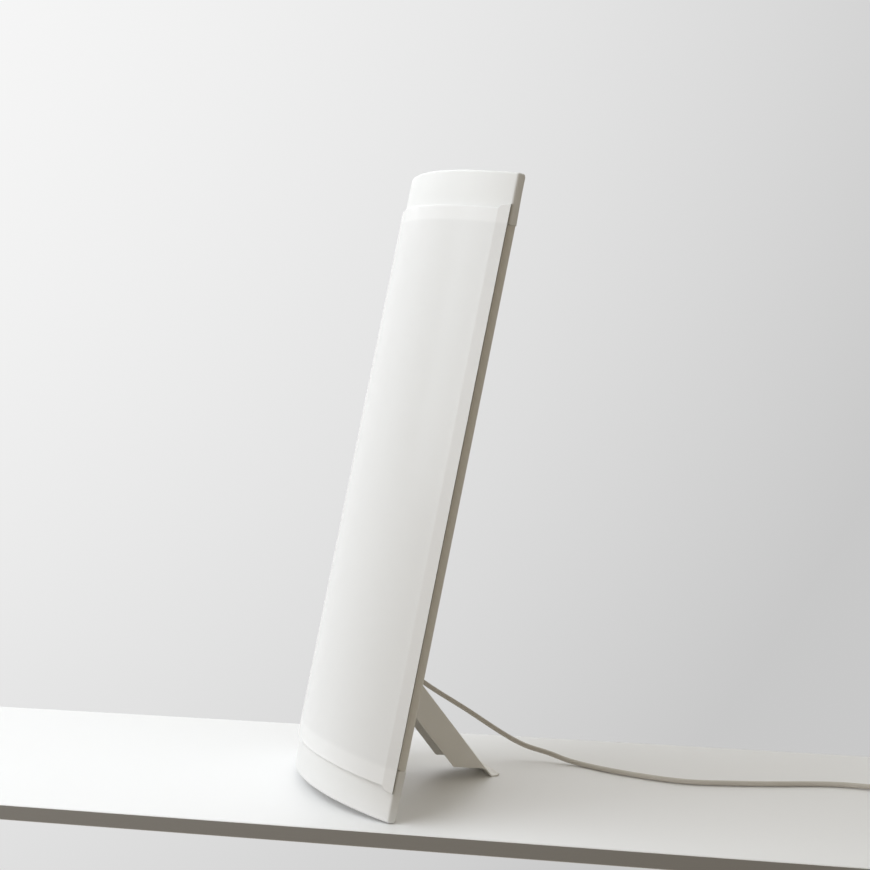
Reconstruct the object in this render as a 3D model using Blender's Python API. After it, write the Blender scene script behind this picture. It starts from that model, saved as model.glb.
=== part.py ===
"""Light therapy lamp: a tall light box with a curved opal front that leans back on a folding strut."""
import math

import bmesh
import bpy
import numpy as np
from mathutils import Matrix, Vector

# Clearances that every piece shares, in metres
GAP = 0.0003
HOLE_CLEARANCE = 0.0004
OVERRUN = 0.002

# The whole lamp, measured square to its back
HEIGHT = 0.650
WIDTH = 0.280
EDGE_DEPTH = 0.0092
BULGE = 0.044
LEAN = math.radians(12.65)

# The moulded end caps, which sleeve over the ends of the pan
CAP_DEPTH = 0.052
CAP_WALL = 0.0022
CAP_LIP = 0.0012
CAP_FILLET = 0.0025
CAP_CORNER = 0.0032
CAP_INNER_CORNER = 0.0008
CAP_REAR_CORNER_SHARE = 0.25
CAP_BOSS = 0.006
CAP_SCREW_SIDE_INSET = 0.050
CAP_SCREW_INSET = 0.026
CAP_REAR = GAP

# Screws and rivets
SCREW_SHANK = 0.0030
SCREW_HEAD = 0.0062
SCREW_HEAD_HEIGHT = 0.0020
SCREW_CROWN_SHARE = 0.55
CAP_SCREW_LENGTH = 0.0075
SHORT_SCREW_LENGTH = 0.0045
RIVET_SHANK = 0.0024
RIVET_HEAD = 0.0050
RIVET_HEAD_HEIGHT = 0.0012
RIVET_PROUD = 0.0010

# The folded steel pan that is the back and the narrow sides
PAN_SHEET = 0.0008
PAN_BEND = 0.0016
PAN_LIP = 0.0060
PAN_END_CLEARANCE = 0.0006
PAN_NOTCH_CLEARANCE = 0.0006
VENT_WIDTH = 0.0026
VENT_LENGTH = 0.036
VENT_PITCH = 0.010
VENT_TOP_COUNT = 9
VENT_SIDE_COUNT = 4
VENT_SIDE_INSET = 0.046
VENT_INSET = 0.084

# The opal cover, one formed sheet that lies over the caps and the pan's lips
COVER_SHEET = 0.0020
COVER_GAP = 0.0004
CAP_SHOWN_LOW = 0.0345
CAP_SHOWN_HIGH = 0.0375
COVER_FLANGE = 0.0126
FLANGE_ANGLE = math.radians(42.0)
COVER_EAR = 0.0055
EAR_STEP_RUN = 0.0025
EAR_STEP_RISE = 0.0035

# The hooked rails bonded inside the cover, which catch behind the pan's lips
RAIL_END_CLEARANCE = 0.0015
RAIL_SHEET = 0.0015
RAIL_PAD = 0.0040
RAIL_LEG = 0.0022
RAIL_REACH = 0.0035

# The bright reflector, a folded sheet with a ridge over the ballast
REFLECTOR_SHEET = 0.0005
REFLECTOR_SIDE_CLEARANCE = 0.016
REFLECTOR_FOOT = 0.010
REFLECTOR_SLOPE = 0.004
REFLECTOR_FLOOR = 0.011
RIDGE_HALF = 0.018
RIDGE_SLOPE = 0.008
RIDGE_DEPTH = 0.024
REFLECTOR_TOP_INSET = 0.054
REFLECTOR_RIVET_SHARES = (0.05, 0.95)

# The two twin-tube fluorescent lamps and what holds them
LAMP_SPREAD = 0.120
LAMP_DEPTH = 0.024
LAMP_TOP_CLEARANCE = 0.0517
TUBE_DIAMETER = 0.0175
TUBE_SPACING = 0.0263
TUBE_DOME = 0.006
BRIDGE_DIAMETER = 0.008
BRIDGE_DROP = 0.016
BASE_LENGTH = 0.030
BASE_WIDTH = 0.0438
BASE_DEPTH = 0.022
LAMP_PIN_DIAMETER = 0.0024
LAMP_PIN_LENGTH = 0.0065
LAMP_PIN_PITCH = 0.011
HOLDER_HEIGHT = 0.020
HOLDER_WIDTH = 0.046
HOLDER_FRONT = 0.0325
HOLDER_BOTTOM = 0.045
CLIP_HEIGHT = 0.012
CLIP_INSET = 0.045
CLIP_WALL = 0.0018

# The ballast under the ridge, the terminal block and the wires
BALLAST_WIDTH = 0.030
BALLAST_DEPTH = 0.021
BALLAST_TOP_CLEARANCE = 0.0640
BALLAST_SWITCH_CLEARANCE = 0.0256
BALLAST_TAB = 0.010
BALLAST_TAB_SHEET = 0.0010
TERMINAL_WIDTH = 0.024
TERMINAL_DEPTH = 0.014
TERMINAL_LENGTH = 0.026
TERMINAL_BOTTOM = 0.076
TERMINAL_COUNT = 3
TERMINAL_WELL = 0.0045
TERMINAL_WELL_DEPTH = 0.004
CORE_DIAMETER = 0.0020
CORE_START_SHARE = 0.35
WIRE_DEPTH = 0.0058
LEAD_DIAMETER = 0.0032
LEAD_DEPTH = 0.0058

# The strut, a bent steel channel, its bracket and its pin
STRUT_SHEET = 0.0012
STRUT_WIDTH = 0.054
STRUT_FLANGE = 0.027
STRUT_EDGE = 0.0065
STRUT_CLEAR = 0.0005
STRUT_OPEN = math.radians(49.0)
PIVOT_HEIGHT = 0.1275
FLANGE_CUT_WEB = 0.0120
FLANGE_CUT_FRONT = 0.0390
FOOT_FLAT = 0.0075
FOOT_CURL = 0.0030
FOOT_CURL_ANGLE = math.radians(38.0)
FOOT_BEND = 0.0040
CURL_BEND = 0.0025
PIN_DIAMETER = 0.0050
PIN_HEAD = 0.0090
PIN_HEAD_HEIGHT = 0.0015
BRACKET_SHEET = 0.0015
BRACKET_SIDE_CLEARANCE = 0.0005
BRACKET_HALF_HEIGHT = 0.019
BRACKET_NOSE = 0.0068
BRACKET_SCREW_SPREAD = 0.028
BRACKET_SCREW_PITCH = 0.024

# The rocker switch above the strut
SWITCH_STRUT_CLEARANCE = 0.0260
SWITCH_BEZEL = (0.0152, 0.0214)
SWITCH_BEZEL_SHEET = 0.0018
SWITCH_BODY = (0.0124, 0.0188)
SWITCH_BODY_DEPTH = 0.0165
SWITCH_WINDOW = (0.0092, 0.0150)
SWITCH_WELL_DEPTH = 0.0085
ROCKER_CLEARANCE = 0.0004
ROCKER_AXIS_DEPTH = 0.0018
ROCKER_RISE = 0.0036
ROCKER_MIDDLE_RISE = 0.0024
ROCKER_TILT = math.radians(-7.0)
ROCKER_END_LOW = math.radians(-34.0)
TRUNNION_DIAMETER = 0.0018
TRUNNION_LENGTH = 0.0007
BLADE = (0.0048, 0.0008)
BLADE_LENGTH = 0.0040
BLADE_PITCH = 0.0090
BLADE_SEAT = 0.0020

# Where the cord leaves the back, and its moulded sleeve
CORD_DIAMETER = 0.0054
CORD_EXIT = (-0.060, 0.129)
BUSH_FLANGE = 0.0150
BUSH_FLANGE_SHEET = 0.0025
BUSH_NECK = 0.0094
BUSH_RING = 0.0120
BUSH_RING_SHEET = 0.0018
SLEEVE_WIDE = 0.0112
SLEEVE_NARROW = 0.0072
SLEEVE_LENGTH = 0.0278
SLEEVE_RIBS = 5
SLEEVE_GROOVE_SHARE = 0.10
SLEEVE_RIB_SHARES = (0.55, 0.60, 0.95, 1.0)

# The cord's own places from its sleeve to the coil, in the part's frame
CORD_PLACES = (
    (-0.0600, 0.0160, 0.1149),
    (-0.0598, 0.0270, 0.1078),
    (-0.0590, 0.0516, 0.0883),
    (-0.0550, 0.0744, 0.0719),
    (-0.0485, 0.1000, 0.0543),
    (-0.0400, 0.1215, 0.0385),
    (-0.0290, 0.1415, 0.0246),
    (-0.0185, 0.1570, 0.0162),
    (0.0000, 0.1781, 0.0098),
    (0.0125, 0.1895, 0.0055),
    (0.0286, 0.2014, 0.0031),
    (0.0562, 0.2160, 0.0030),
    (0.0871, 0.2362, 0.0030),
    (0.1150, 0.2585, 0.0030),
    (0.1330, 0.2775, 0.0030),
    (0.1503, 0.3075, 0.0030),
    (0.1750, 0.3600, 0.0030),
    (0.2010, 0.4170, 0.0030),
)

# The rest of the cord, wound in two layers, and the tie round it
COIL_CENTRE = (0.2100, 0.5125)
COIL_START = math.radians(-14.0)
COIL_TURNS = 5.10
COIL_BEND = 0.0243
COIL_STEP = 0.0061
COIL_LIFT = 0.0010
TURN_POINTS = 24
TIE_SHEET = 0.0005
TIE_WIDTH = 0.010
TIE_ANGLE = math.radians(170.0)
TAIL_PLACES = (
    (0.2388, 0.5521, 0.0083),
    (0.2378, 0.5698, 0.0064),
    (0.2487, 0.5855, 0.0050),
    (0.2672, 0.5905, 0.0060),
    (0.2846, 0.5824, 0.0105),
)

# The moulded plug at the cord's end
PLUG_FACE = (0.3435, 0.5235)
PLUG_HEADING = math.radians(-45.0)
PLUG_WIDTH = 0.0370
PLUG_THICKNESS = 0.0280
PLUG_HEAD = 0.0230
PLUG_GRIP = 0.0200
PLUG_GRIP_WIDTH = 0.0200
PLUG_NECK = 0.0160
PLUG_NECK_WIDTH = 0.0100
PLUG_FILLET = 0.0015
PLUG_CLEAR = 0.0012
PLUG_PIN_DIAMETER = 0.0048
PLUG_PIN_LENGTH = 0.0190
PLUG_PIN_SPACING = 0.0190
PLUG_PIN_SEAT = 0.0080
PLUG_PIN_TIP = 0.0015
PLUG_NECK_TAPER_SHARES = (0.8, 1.2)
PLUG_SQUARENESS_SHARES = (3.2, 2.6, 2.2, 2.0)
EARTH_HOLE = 0.0050
EARTH_HOLE_DEPTH = 0.0140
EARTH_HOLE_RISE = 0.0095
EARTH_CLIP_WIDTH = 0.0055
EARTH_CLIP_SHEET = 0.0008
EARTH_CLIP_LENGTH = 0.0150

# Counts of flats and steps on round shapes
FRONT_STEPS = 28
CORNER_STEPS = 3
BEND_STEPS = 3
ROUND_STEPS = 16
SMALL_ROUND_STEPS = 12
CORD_LENGTH = 1.80

# Shape of the caps' front, and of the cover's flatter curve between its two creases
FRONT_RADIUS = (WIDTH ** 2 / 4 + BULGE ** 2) / (2 * BULGE)
FRONT_CENTRE = FRONT_RADIUS - BULGE - EDGE_DEPTH
CREASE_HALF = WIDTH / 2 - COVER_FLANGE * math.cos(FLANGE_ANGLE)
COVER_RISE = BULGE - COVER_FLANGE * math.sin(FLANGE_ANGLE)
COVER_RADIUS = (CREASE_HALF ** 2 + COVER_RISE ** 2) / (2 * COVER_RISE)
COVER_CENTRE = COVER_RADIUS - BULGE - EDGE_DEPTH
CREASE_ANGLE = math.asin(CREASE_HALF / COVER_RADIUS)
PAN_HALF = WIDTH / 2 - CAP_LIP - GAP
PAN_INNER = -PAN_SHEET - GAP
COVER_LOW = CAP_SHOWN_LOW
COVER_HIGH = HEIGHT - CAP_SHOWN_HIGH
LAMP_BOTTOM = HOLDER_BOTTOM + HOLDER_HEIGHT + GAP
LAMP_LENGTH = HEIGHT - LAMP_TOP_CLEARANCE - LAMP_BOTTOM
REFLECTOR_HALF = WIDTH / 2 - REFLECTOR_SIDE_CLEARANCE
REFLECTOR_BOTTOM = HOLDER_BOTTOM + HOLDER_HEIGHT + OVERRUN
REFLECTOR_TOP = HEIGHT - REFLECTOR_TOP_INSET

# Places of the strut's axis, of the floor and of the cord's bush, square to the back
PIVOT_DEPTH = CAP_REAR + STRUT_CLEAR + STRUT_EDGE
STRUT_DIP = math.pi / 2 - STRUT_OPEN
STRUT_OUTER = STRUT_FLANGE - STRUT_EDGE
STRUT_INNER = STRUT_OUTER - STRUT_SHEET
STRUT_TOP = (STRUT_EDGE + STRUT_OUTER * math.sin(STRUT_DIP)) / math.cos(STRUT_DIP)
STRUT_TOP_HEIGHT = PIVOT_HEIGHT + STRUT_TOP * math.sin(STRUT_DIP) + STRUT_OUTER * math.cos(STRUT_DIP)
SWITCH_HEIGHT = STRUT_TOP_HEIGHT + SWITCH_STRUT_CLEARANCE + SWITCH_BEZEL[1] / 2
BALLAST_BOTTOM = SWITCH_HEIGHT + SWITCH_BODY[1] / 2 + BALLAST_SWITCH_CLEARANCE
BALLAST_LENGTH = REFLECTOR_TOP - BALLAST_TOP_CLEARANCE - BALLAST_BOTTOM
BUSH_FACE = GAP + BUSH_FLANGE_SHEET
SLEEVE_TIP = BUSH_FACE + GAP + SLEEVE_LENGTH
FLOOR_LIFT = CAP_FILLET - CAP_FILLET * math.cos(LEAN) + (CAP_REAR - CAP_FILLET) * math.sin(LEAN)


def clear_scene():
    """Removes every object that the file opened with."""
    for obj in list(bpy.data.objects):
        bpy.data.objects.remove(obj, do_unlink=True)


def finish(name, colour, roughness, metallic=0.0):
    """Principled material of one sub-part."""
    material = bpy.data.materials.new(name)
    material.use_nodes = True
    shader = material.node_tree.nodes["Principled BSDF"]
    shader.inputs["Base Color"].default_value = (*colour, 1.0)
    shader.inputs["Roughness"].default_value = roughness
    shader.inputs["Metallic"].default_value = metallic
    return material


def loft(rings):
    """Closed body through rings of equally many points, with a flat face at each end."""
    bm = bmesh.new()
    loops = [[bm.verts.new(point) for point in ring] for ring in rings]
    count = len(loops[0])
    for low, high in zip(loops, loops[1:]):
        for index in range(count):
            after = (index + 1) % count
            bm.faces.new((low[index], low[after], high[after], high[index]))
    bm.faces.new(reversed(loops[0]))
    bm.faces.new(loops[-1])
    bmesh.ops.recalc_face_normals(bm, faces=bm.faces)
    return bm


def prism_up(outline, low, high):
    """Outline of (x, y) points drawn along the lamp's height."""
    return loft([[(x, y, level) for x, y in outline] for level in (low, high)])


def prism_across(outline, left, right):
    """Outline of (y, z) points drawn along the lamp's width."""
    return loft([[(side, y, z) for y, z in outline] for side in (left, right)])


def block(size, centre):
    """Box of the given size about a centre."""
    bm = bmesh.new()
    bmesh.ops.create_cube(bm, size=1.0)
    bmesh.ops.scale(bm, vec=size, verts=bm.verts)
    bmesh.ops.translate(bm, vec=centre, verts=bm.verts)
    return bm


def turned(profile, steps):
    """Body of revolution about Z from (radius, height) pairs, closed flat at both ends."""
    turn = 2 * math.pi / steps
    return loft([
        [(radius * math.cos(turn * step), radius * math.sin(turn * step), level) for step in range(steps)]
        for radius, level in profile
    ])


def placed(bm, matrix):
    """The same body moved and turned by a matrix."""
    bmesh.ops.transform(bm, matrix=matrix, verts=bm.verts)
    return bm


def gathered(bodies):
    """Several bodies kept as separate solids of one mesh."""
    whole = bmesh.new()
    for body in bodies:
        mesh = bpy.data.meshes.new("gathered")
        body.to_mesh(mesh)
        body.free()
        whole.from_mesh(mesh)
        bpy.data.meshes.remove(mesh)
    return whole


STANDING_BACK = (-math.pi / 2, 0, 0)


def facing_back(x, y, z):
    """Matrix that stands a turned body on the back, its height pointing away from the back."""
    return Matrix.Translation((x, y, z)) @ Matrix.Rotation(-math.pi / 2, 4, "X")


def facing_front(x, y, z):
    """Matrix that stands a turned body on the back's inner side, its height pointing forward."""
    return Matrix.Translation((x, y, z)) @ Matrix.Rotation(math.pi / 2, 4, "X")


def new_object(name, bm, parent, location, rotation):
    mesh = bpy.data.meshes.new(name)
    bm.to_mesh(mesh)
    bm.free()
    obj = bpy.data.objects.new(name, mesh)
    obj.parent = parent
    obj.location = location
    obj.rotation_euler = rotation
    bpy.context.collection.objects.link(obj)
    return obj


def add_node(name, bm, material, parent, location=(0, 0, 0), rotation=(0, 0, 0)):
    """One named sub-part, its round faces shaded smooth."""
    obj = new_object(name, bm, parent, location, rotation)
    obj.data.materials.append(material)
    obj.data.shade_smooth()
    obj.data.set_sharp_from_angle(angle=math.radians(30))
    return obj


def shape_with(target, tool_bm, operation, name):
    """Boolean on a sub-part with a hidden tool body that shares its place."""
    tool = new_object(name, tool_bm, target.parent, target.location, target.rotation_euler)
    tool.hide_render = True
    tool.display_type = "WIRE"
    modifier = target.modifiers.new(name, "BOOLEAN")
    modifier.operation = operation
    modifier.solver = "EXACT"
    modifier.object = tool


def cut(target, tool_bm, name):
    shape_with(target, tool_bm, "DIFFERENCE", name)


def join(target, tool_bm, name):
    shape_with(target, tool_bm, "UNION", name)


def rounded(points, radii, steps, closed):
    """Polyline with arcs in place of the corners whose radius isn't zero."""
    result = []
    count = len(points)
    for index, point in enumerate(points):
        radius = radii[index]
        if radius == 0 or (not closed and index in (0, count - 1)):
            result.append(tuple(point))
            continue
        corner = Vector(point)
        before = (Vector(points[index - 1]) - corner).normalized()
        after = (Vector(points[(index + 1) % count]) - corner).normalized()
        half = before.angle(after) / 2
        centre = corner + (before + after).normalized() * radius / math.sin(half)
        start = corner + before * radius / math.tan(half) - centre
        end = corner + after * radius / math.tan(half) - centre
        sweep = start.angle_signed(end)
        for step in range(steps + 1):
            angle = sweep * step / steps
            turn = Matrix.Rotation(-angle, 2)
            result.append(tuple(centre + turn @ start))
    return result


def offset_path(path, distance):
    """Open polyline moved to its left by a distance, with mitred corners."""
    moved = []
    for index, point in enumerate(path):
        here = Vector(point)
        arrive = (here - Vector(path[index - 1])).normalized() if index > 0 else None
        leave = (Vector(path[index + 1]) - here).normalized() if index < len(path) - 1 else None
        arrive = arrive or leave
        leave = leave or arrive
        middle = (arrive + leave).normalized()
        left = Vector((-middle.y, middle.x))
        moved.append(tuple(here + left * distance / middle.dot(arrive)))
    return moved


def sheet_outline(path, thickness):
    """Closed outline of bent sheet whose right face follows a path."""
    return list(path) + offset_path(path, thickness)[::-1]


def circle(centre, radius, steps):
    """Points of a circle in a plane."""
    turn = 2 * math.pi / steps
    return [
        (centre[0] + radius * math.cos(turn * step), centre[1] + radius * math.sin(turn * step))
        for step in range(steps)
    ]


def flange_point(along, depth):
    """Point on the flat beside the cover's crease, measured from the outer edge, depth into the lamp."""
    x = WIDTH / 2 - along * math.cos(FLANGE_ANGLE) - depth * math.sin(FLANGE_ANGLE)
    y = -EDGE_DEPTH - along * math.sin(FLANGE_ANGLE) + depth * math.cos(FLANGE_ANGLE)
    return x, y


def mirrored(points):
    """Right-hand half of a path joined to its mirror image on the left."""
    return [(-x, y) for x, y in points] + [(x, y) for x, y in reversed(points)]


def screw(shank, length, head, head_height):
    """Screw or rivet with a low crowned head, standing on its seat at height zero."""
    crown = head * SCREW_CROWN_SHARE / 2
    return turned([(shank / 2, -length), (shank / 2, 0), (head / 2, 0),
                   (head / 2, head_height / 2), (crown, head_height)], SMALL_ROUND_STEPS)


def cap_outline(side_inset, front_inset, rear, corner):
    """Section of a cap back to a rear face, with its sides and its front drawn in by the insets."""
    half = WIDTH / 2 - side_inset
    radius = FRONT_RADIUS - front_inset
    edge = math.asin(half / radius)
    points = []
    for step in range(FRONT_STEPS + 1):
        angle = edge * (2 * step / FRONT_STEPS - 1)
        points.append((radius * math.sin(angle), FRONT_CENTRE - radius * math.cos(angle)))
    points += [(half, rear), (-half, rear)]
    rear_corner = corner * CAP_REAR_CORNER_SHARE
    radii = [corner] + [0] * (FRONT_STEPS - 1) + [corner, rear_corner, rear_corner]
    return rounded(points, radii, CORNER_STEPS, True)


def cap_body():
    """Solid end of the lamp with a filleted face at height zero."""
    rings = []
    for step in range(CORNER_STEPS + 1):
        angle = math.pi / 2 * step / CORNER_STEPS
        inset = CAP_FILLET * (1 - math.sin(angle))
        level = CAP_FILLET * (1 - math.cos(angle))
        outline = cap_outline(inset, inset, CAP_REAR - inset, CAP_CORNER - inset)
        rings.append([(x, y, level) for x, y in outline])
    rings.append([(x, y, CAP_DEPTH) for x, y in cap_outline(0, 0, CAP_REAR, CAP_CORNER)])
    return loft(rings)


def cap_cavity():
    """Inside of a cap, open at its mouth and at its back, where the pan closes it."""
    outline = cap_outline(CAP_LIP, CAP_WALL, CAP_REAR + OVERRUN, CAP_INNER_CORNER)
    return prism_up(outline, CAP_WALL, CAP_DEPTH + OVERRUN)


def cap_bosses():
    """Two square posts from the front wall back to the pan, for the cap's screws."""
    wall_radius = FRONT_RADIUS - CAP_WALL / 2
    posts = []
    for x, z in cap_screw_places():
        front = FRONT_CENTRE - math.sqrt(wall_radius ** 2 - (abs(x) + CAP_BOSS / 2) ** 2)
        size = (CAP_BOSS, PAN_INNER - front, CAP_BOSS)
        posts.append(block(size, (x, (PAN_INNER + front) / 2, z)))
    return gathered(posts)


def cap_screw_places():
    """Screw places across one cap."""
    return [(side * (WIDTH / 2 - CAP_SCREW_SIDE_INSET), CAP_SCREW_INSET) for side in (-1, 1)]


def back_holes(places, diameter, depth=PAN_SHEET):
    """Cutters through the back at (x, z) places, to a depth into the lamp."""
    profile = [(diameter / 2, -depth - OVERRUN), (diameter / 2, OVERRUN)]
    return gathered([placed(turned(profile, SMALL_ROUND_STEPS), facing_back(x, 0, z)) for x, z in places])


def turned_over(bm):
    """A body of the bottom cap mirrored to the lamp's top."""
    placed(bm, Matrix.Translation((0, 0, HEIGHT)) @ Matrix.Scale(-1, 4, (0, 0, 1)))
    bmesh.ops.recalc_face_normals(bm, faces=bm.faces)
    return bm


def build_caps(body, white):
    """Bottom and top caps, cups open at the back, each with two drilled screw posts."""
    hole = SCREW_SHANK + 2 * HOLE_CLEARANCE
    bottom = add_node("bottom_cap", cap_body(), white, body)
    cut(bottom, cap_cavity(), "bottom_cap_cavity")
    join(bottom, cap_bosses(), "bottom_cap_bosses")
    cut(bottom, back_holes(cap_screw_places(), hole, CAP_SCREW_LENGTH), "bottom_cap_holes")
    top = add_node("top_cap", turned_over(cap_body()), white, body)
    cut(top, turned_over(cap_cavity()), "top_cap_cavity")
    join(top, turned_over(cap_bosses()), "top_cap_bosses")
    cut(top, back_holes(top_screw_places(), hole, CAP_SCREW_LENGTH), "top_cap_holes")


def top_screw_places():
    return [(x, HEIGHT - z) for x, z in cap_screw_places()]


def add_screws(name, places, seat, length, body, steel):
    """Crowned screws with their heads on a seat behind the back, numbered from one."""
    for number, (x, z) in enumerate(places, start=1):
        one = screw(SCREW_SHANK, length, SCREW_HEAD, SCREW_HEAD_HEIGHT)
        add_node("%s_%d" % (name, number), one, steel, body, (x, seat, z), STANDING_BACK)


def build_cap_screws(body, steel):
    """Four screws that hold the caps to the pan."""
    places = cap_screw_places() + top_screw_places()
    add_screws("cap_screw", places, GAP, CAP_SCREW_LENGTH, body, steel)


def vent_cutters():
    """Rows of narrow upright slots through the pan's back."""
    groups = [(0, HEIGHT - VENT_INSET, VENT_TOP_COUNT)]
    groups += [(side * (WIDTH / 2 - VENT_SIDE_INSET), VENT_INSET, VENT_SIDE_COUNT) for side in (-1, 1)]
    bodies = []
    for middle, level, count in groups:
        for index in range(count):
            x = middle + VENT_PITCH * (index - (count - 1) / 2)
            bodies.append(block((VENT_WIDTH, PAN_SHEET + 2 * OVERRUN, VENT_LENGTH), (x, -PAN_SHEET / 2, level)))
    return gathered(bodies)


def pan_end_cutter(low, high):
    """Box that takes the pan's front edges away inside a cap."""
    inner_radius = FRONT_RADIUS - CAP_WALL
    cap_inside = FRONT_CENTRE - math.sqrt(inner_radius ** 2 - PAN_HALF ** 2)
    rear = cap_inside + PAN_NOTCH_CLEARANCE
    front = -EDGE_DEPTH - BULGE
    size = (WIDTH, rear - front, high - low)
    return block(size, (0, (rear + front) / 2, (low + high) / 2))


def build_pan(body, white):
    """Back pan: flat back, narrow sides and return lips that the cover lies on."""
    slope = math.tan(FLANGE_ANGLE)
    corner_y = -EDGE_DEPTH - (WIDTH / 2 - PAN_HALF) * slope
    lip_x = PAN_HALF - PAN_LIP * math.cos(FLANGE_ANGLE)
    lip_y = corner_y - PAN_LIP * math.sin(FLANGE_ANGLE)
    half = [(lip_x, lip_y), (PAN_HALF, corner_y), (PAN_HALF, 0)]
    corners = mirrored(half)
    radii = [0, PAN_BEND, PAN_BEND, PAN_BEND, PAN_BEND, 0]
    path = rounded(corners, radii, BEND_STEPS, False)
    low = CAP_WALL + PAN_END_CLEARANCE
    pan = add_node("rear_pan", prism_up(sheet_outline(path, -PAN_SHEET), low, HEIGHT - low), white, body)
    reach = CAP_DEPTH + PAN_NOTCH_CLEARANCE
    cut(pan, gathered([pan_end_cutter(-OVERRUN, reach),
                       pan_end_cutter(HEIGHT - reach, HEIGHT + OVERRUN)]), "pan_notches")
    round_holes = back_holes(cap_screw_places() + top_screw_places() + bracket_screw_places(),
                             SCREW_SHANK + 2 * HOLE_CLEARANCE)
    bush_hole = back_holes([CORD_EXIT], BUSH_NECK + 2 * HOLE_CLEARANCE)
    ballast_holes = back_holes(ballast_screw_places(), SCREW_SHANK + 2 * HOLE_CLEARANCE)
    rivet_holes = back_holes(reflector_rivet_places(), RIVET_SHANK + 2 * HOLE_CLEARANCE)
    cut(pan, gathered([round_holes, bush_hole, ballast_holes, rivet_holes]), "pan_round_holes")
    wide, tall = (side + 2 * HOLE_CLEARANCE for side in SWITCH_BODY)
    switch_hole = block((wide, PAN_SHEET + 2 * OVERRUN, tall), (0, -PAN_SHEET / 2, SWITCH_HEIGHT))
    cut(pan, gathered([switch_hole, vent_cutters()]), "pan_slots")


def cover_columns():
    """Across the cover: seat point, outward normal, and how far the sheet runs past its main ends."""
    columns = []
    flange_out = (math.sin(FLANGE_ANGLE), -math.cos(FLANGE_ANGLE))
    for along, ear in ((0.0, COVER_EAR), (COVER_FLANGE - EAR_STEP_RUN, EAR_STEP_RISE)):
        columns.append((flange_point(along, 0), flange_out, ear))
    right = []
    for step in range(FRONT_STEPS // 2 + 1):
        angle = CREASE_ANGLE * (1 - 2 * step / FRONT_STEPS)
        normal_angle = (angle + FLANGE_ANGLE) / 2 if step == 0 else angle
        seat = (COVER_RADIUS * math.sin(angle), COVER_CENTRE - COVER_RADIUS * math.cos(angle))
        right.append((seat, (math.sin(normal_angle), -math.cos(normal_angle)), 0.0))
    columns += right
    left = [((-x, y), (-nx, ny), ear) for (x, y), (nx, ny), ear in reversed(columns[:-1])]
    return columns + left


def build_cover(body, opal):
    """Opal cover: a curved sheet with a flat flange down each side and ears at its corners."""
    bm = bmesh.new()
    faces_of = []
    for outset in (COVER_GAP, COVER_GAP + COVER_SHEET):
        side = []
        for (x, y), (nx, ny), ear in cover_columns():
            point = (x + nx * outset, y + ny * outset)
            side.append([bm.verts.new((*point, level)) for level in (COVER_LOW - ear, COVER_HIGH + ear)])
        faces_of.append(side)
    inner, outer = faces_of
    last = len(inner) - 1
    for index in range(last):
        after = index + 1
        bm.faces.new((inner[index][0], inner[index][1], inner[after][1], inner[after][0]))
        bm.faces.new((outer[index][0], outer[after][0], outer[after][1], outer[index][1]))
        for end in (0, 1):
            bm.faces.new((inner[index][end], inner[after][end], outer[after][end], outer[index][end]))
    for index in (0, last):
        bm.faces.new((inner[index][0], outer[index][0], outer[index][1], inner[index][1]))
    bmesh.ops.recalc_face_normals(bm, faces=bm.faces)
    add_node("diffuser", bm, opal, body)


def rail_outline():
    """Section of a cover rail, measured along the lip from its edge and into the lamp."""
    top = GAP / 3
    under = PAN_SHEET + HOLE_CLEARANCE
    leg = -RAIL_LEG - HOLE_CLEARANCE
    shape = [
        (-RAIL_PAD, top), (-HOLE_CLEARANCE, top), (-HOLE_CLEARANCE, under), (RAIL_REACH, under),
        (RAIL_REACH, under + RAIL_SHEET), (leg, under + RAIL_SHEET), (leg, top + RAIL_SHEET),
        (-RAIL_PAD, top + RAIL_SHEET),
    ]
    lip_edge = (WIDTH / 2 - PAN_HALF) / math.cos(FLANGE_ANGLE) + PAN_LIP
    return [flange_point(lip_edge - along, depth) for along, depth in shape]


def build_rails(body, clear_plastic):
    """Hooked rail down each long edge of the cover, between the caps."""
    low = CAP_DEPTH + RAIL_END_CLEARANCE
    for name, side in (("cover_rail_left", -1), ("cover_rail_right", 1)):
        outline = [(side * x, y) for x, y in rail_outline()]
        add_node(name, prism_up(outline, low, HEIGHT - low), clear_plastic, body)


def reflector_rivet_places():
    """Rivets through the reflector's feet."""
    x = REFLECTOR_HALF - REFLECTOR_FOOT / 2
    length = REFLECTOR_TOP - REFLECTOR_BOTTOM
    return [(side * x, REFLECTOR_BOTTOM + share * length) for share in REFLECTOR_RIVET_SHARES
            for side in (-1, 1)]


def build_reflector(body, bright, steel):
    """Folded reflector with its feet on the pan, and the four rivets through them."""
    foot_inner = REFLECTOR_HALF - REFLECTOR_FOOT
    floor_rear = -REFLECTOR_FLOOR + REFLECTOR_SHEET
    ridge_rear = -RIDGE_DEPTH + REFLECTOR_SHEET
    half = [
        (REFLECTOR_HALF, PAN_INNER), (foot_inner, PAN_INNER), (foot_inner - REFLECTOR_SLOPE, floor_rear),
        (RIDGE_HALF + RIDGE_SLOPE, floor_rear), (RIDGE_HALF, ridge_rear),
    ]
    outline = sheet_outline(mirrored(half), -REFLECTOR_SHEET)
    reflector = add_node("reflector", prism_up(outline, REFLECTOR_BOTTOM, REFLECTOR_TOP), bright, body)
    cut(reflector, back_holes(reflector_rivet_places(), RIVET_SHANK + 2 * HOLE_CLEARANCE), "reflector_holes")
    length = GAP - PAN_INNER + REFLECTOR_SHEET + RIVET_PROUD
    for number, (x, z) in enumerate(reflector_rivet_places(), start=1):
        rivet = screw(RIVET_SHANK, length, RIVET_HEAD, RIVET_HEAD_HEIGHT)
        add_node("reflector_rivet_%d" % number, rivet, steel, body, (x, GAP, z), STANDING_BACK)


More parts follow.
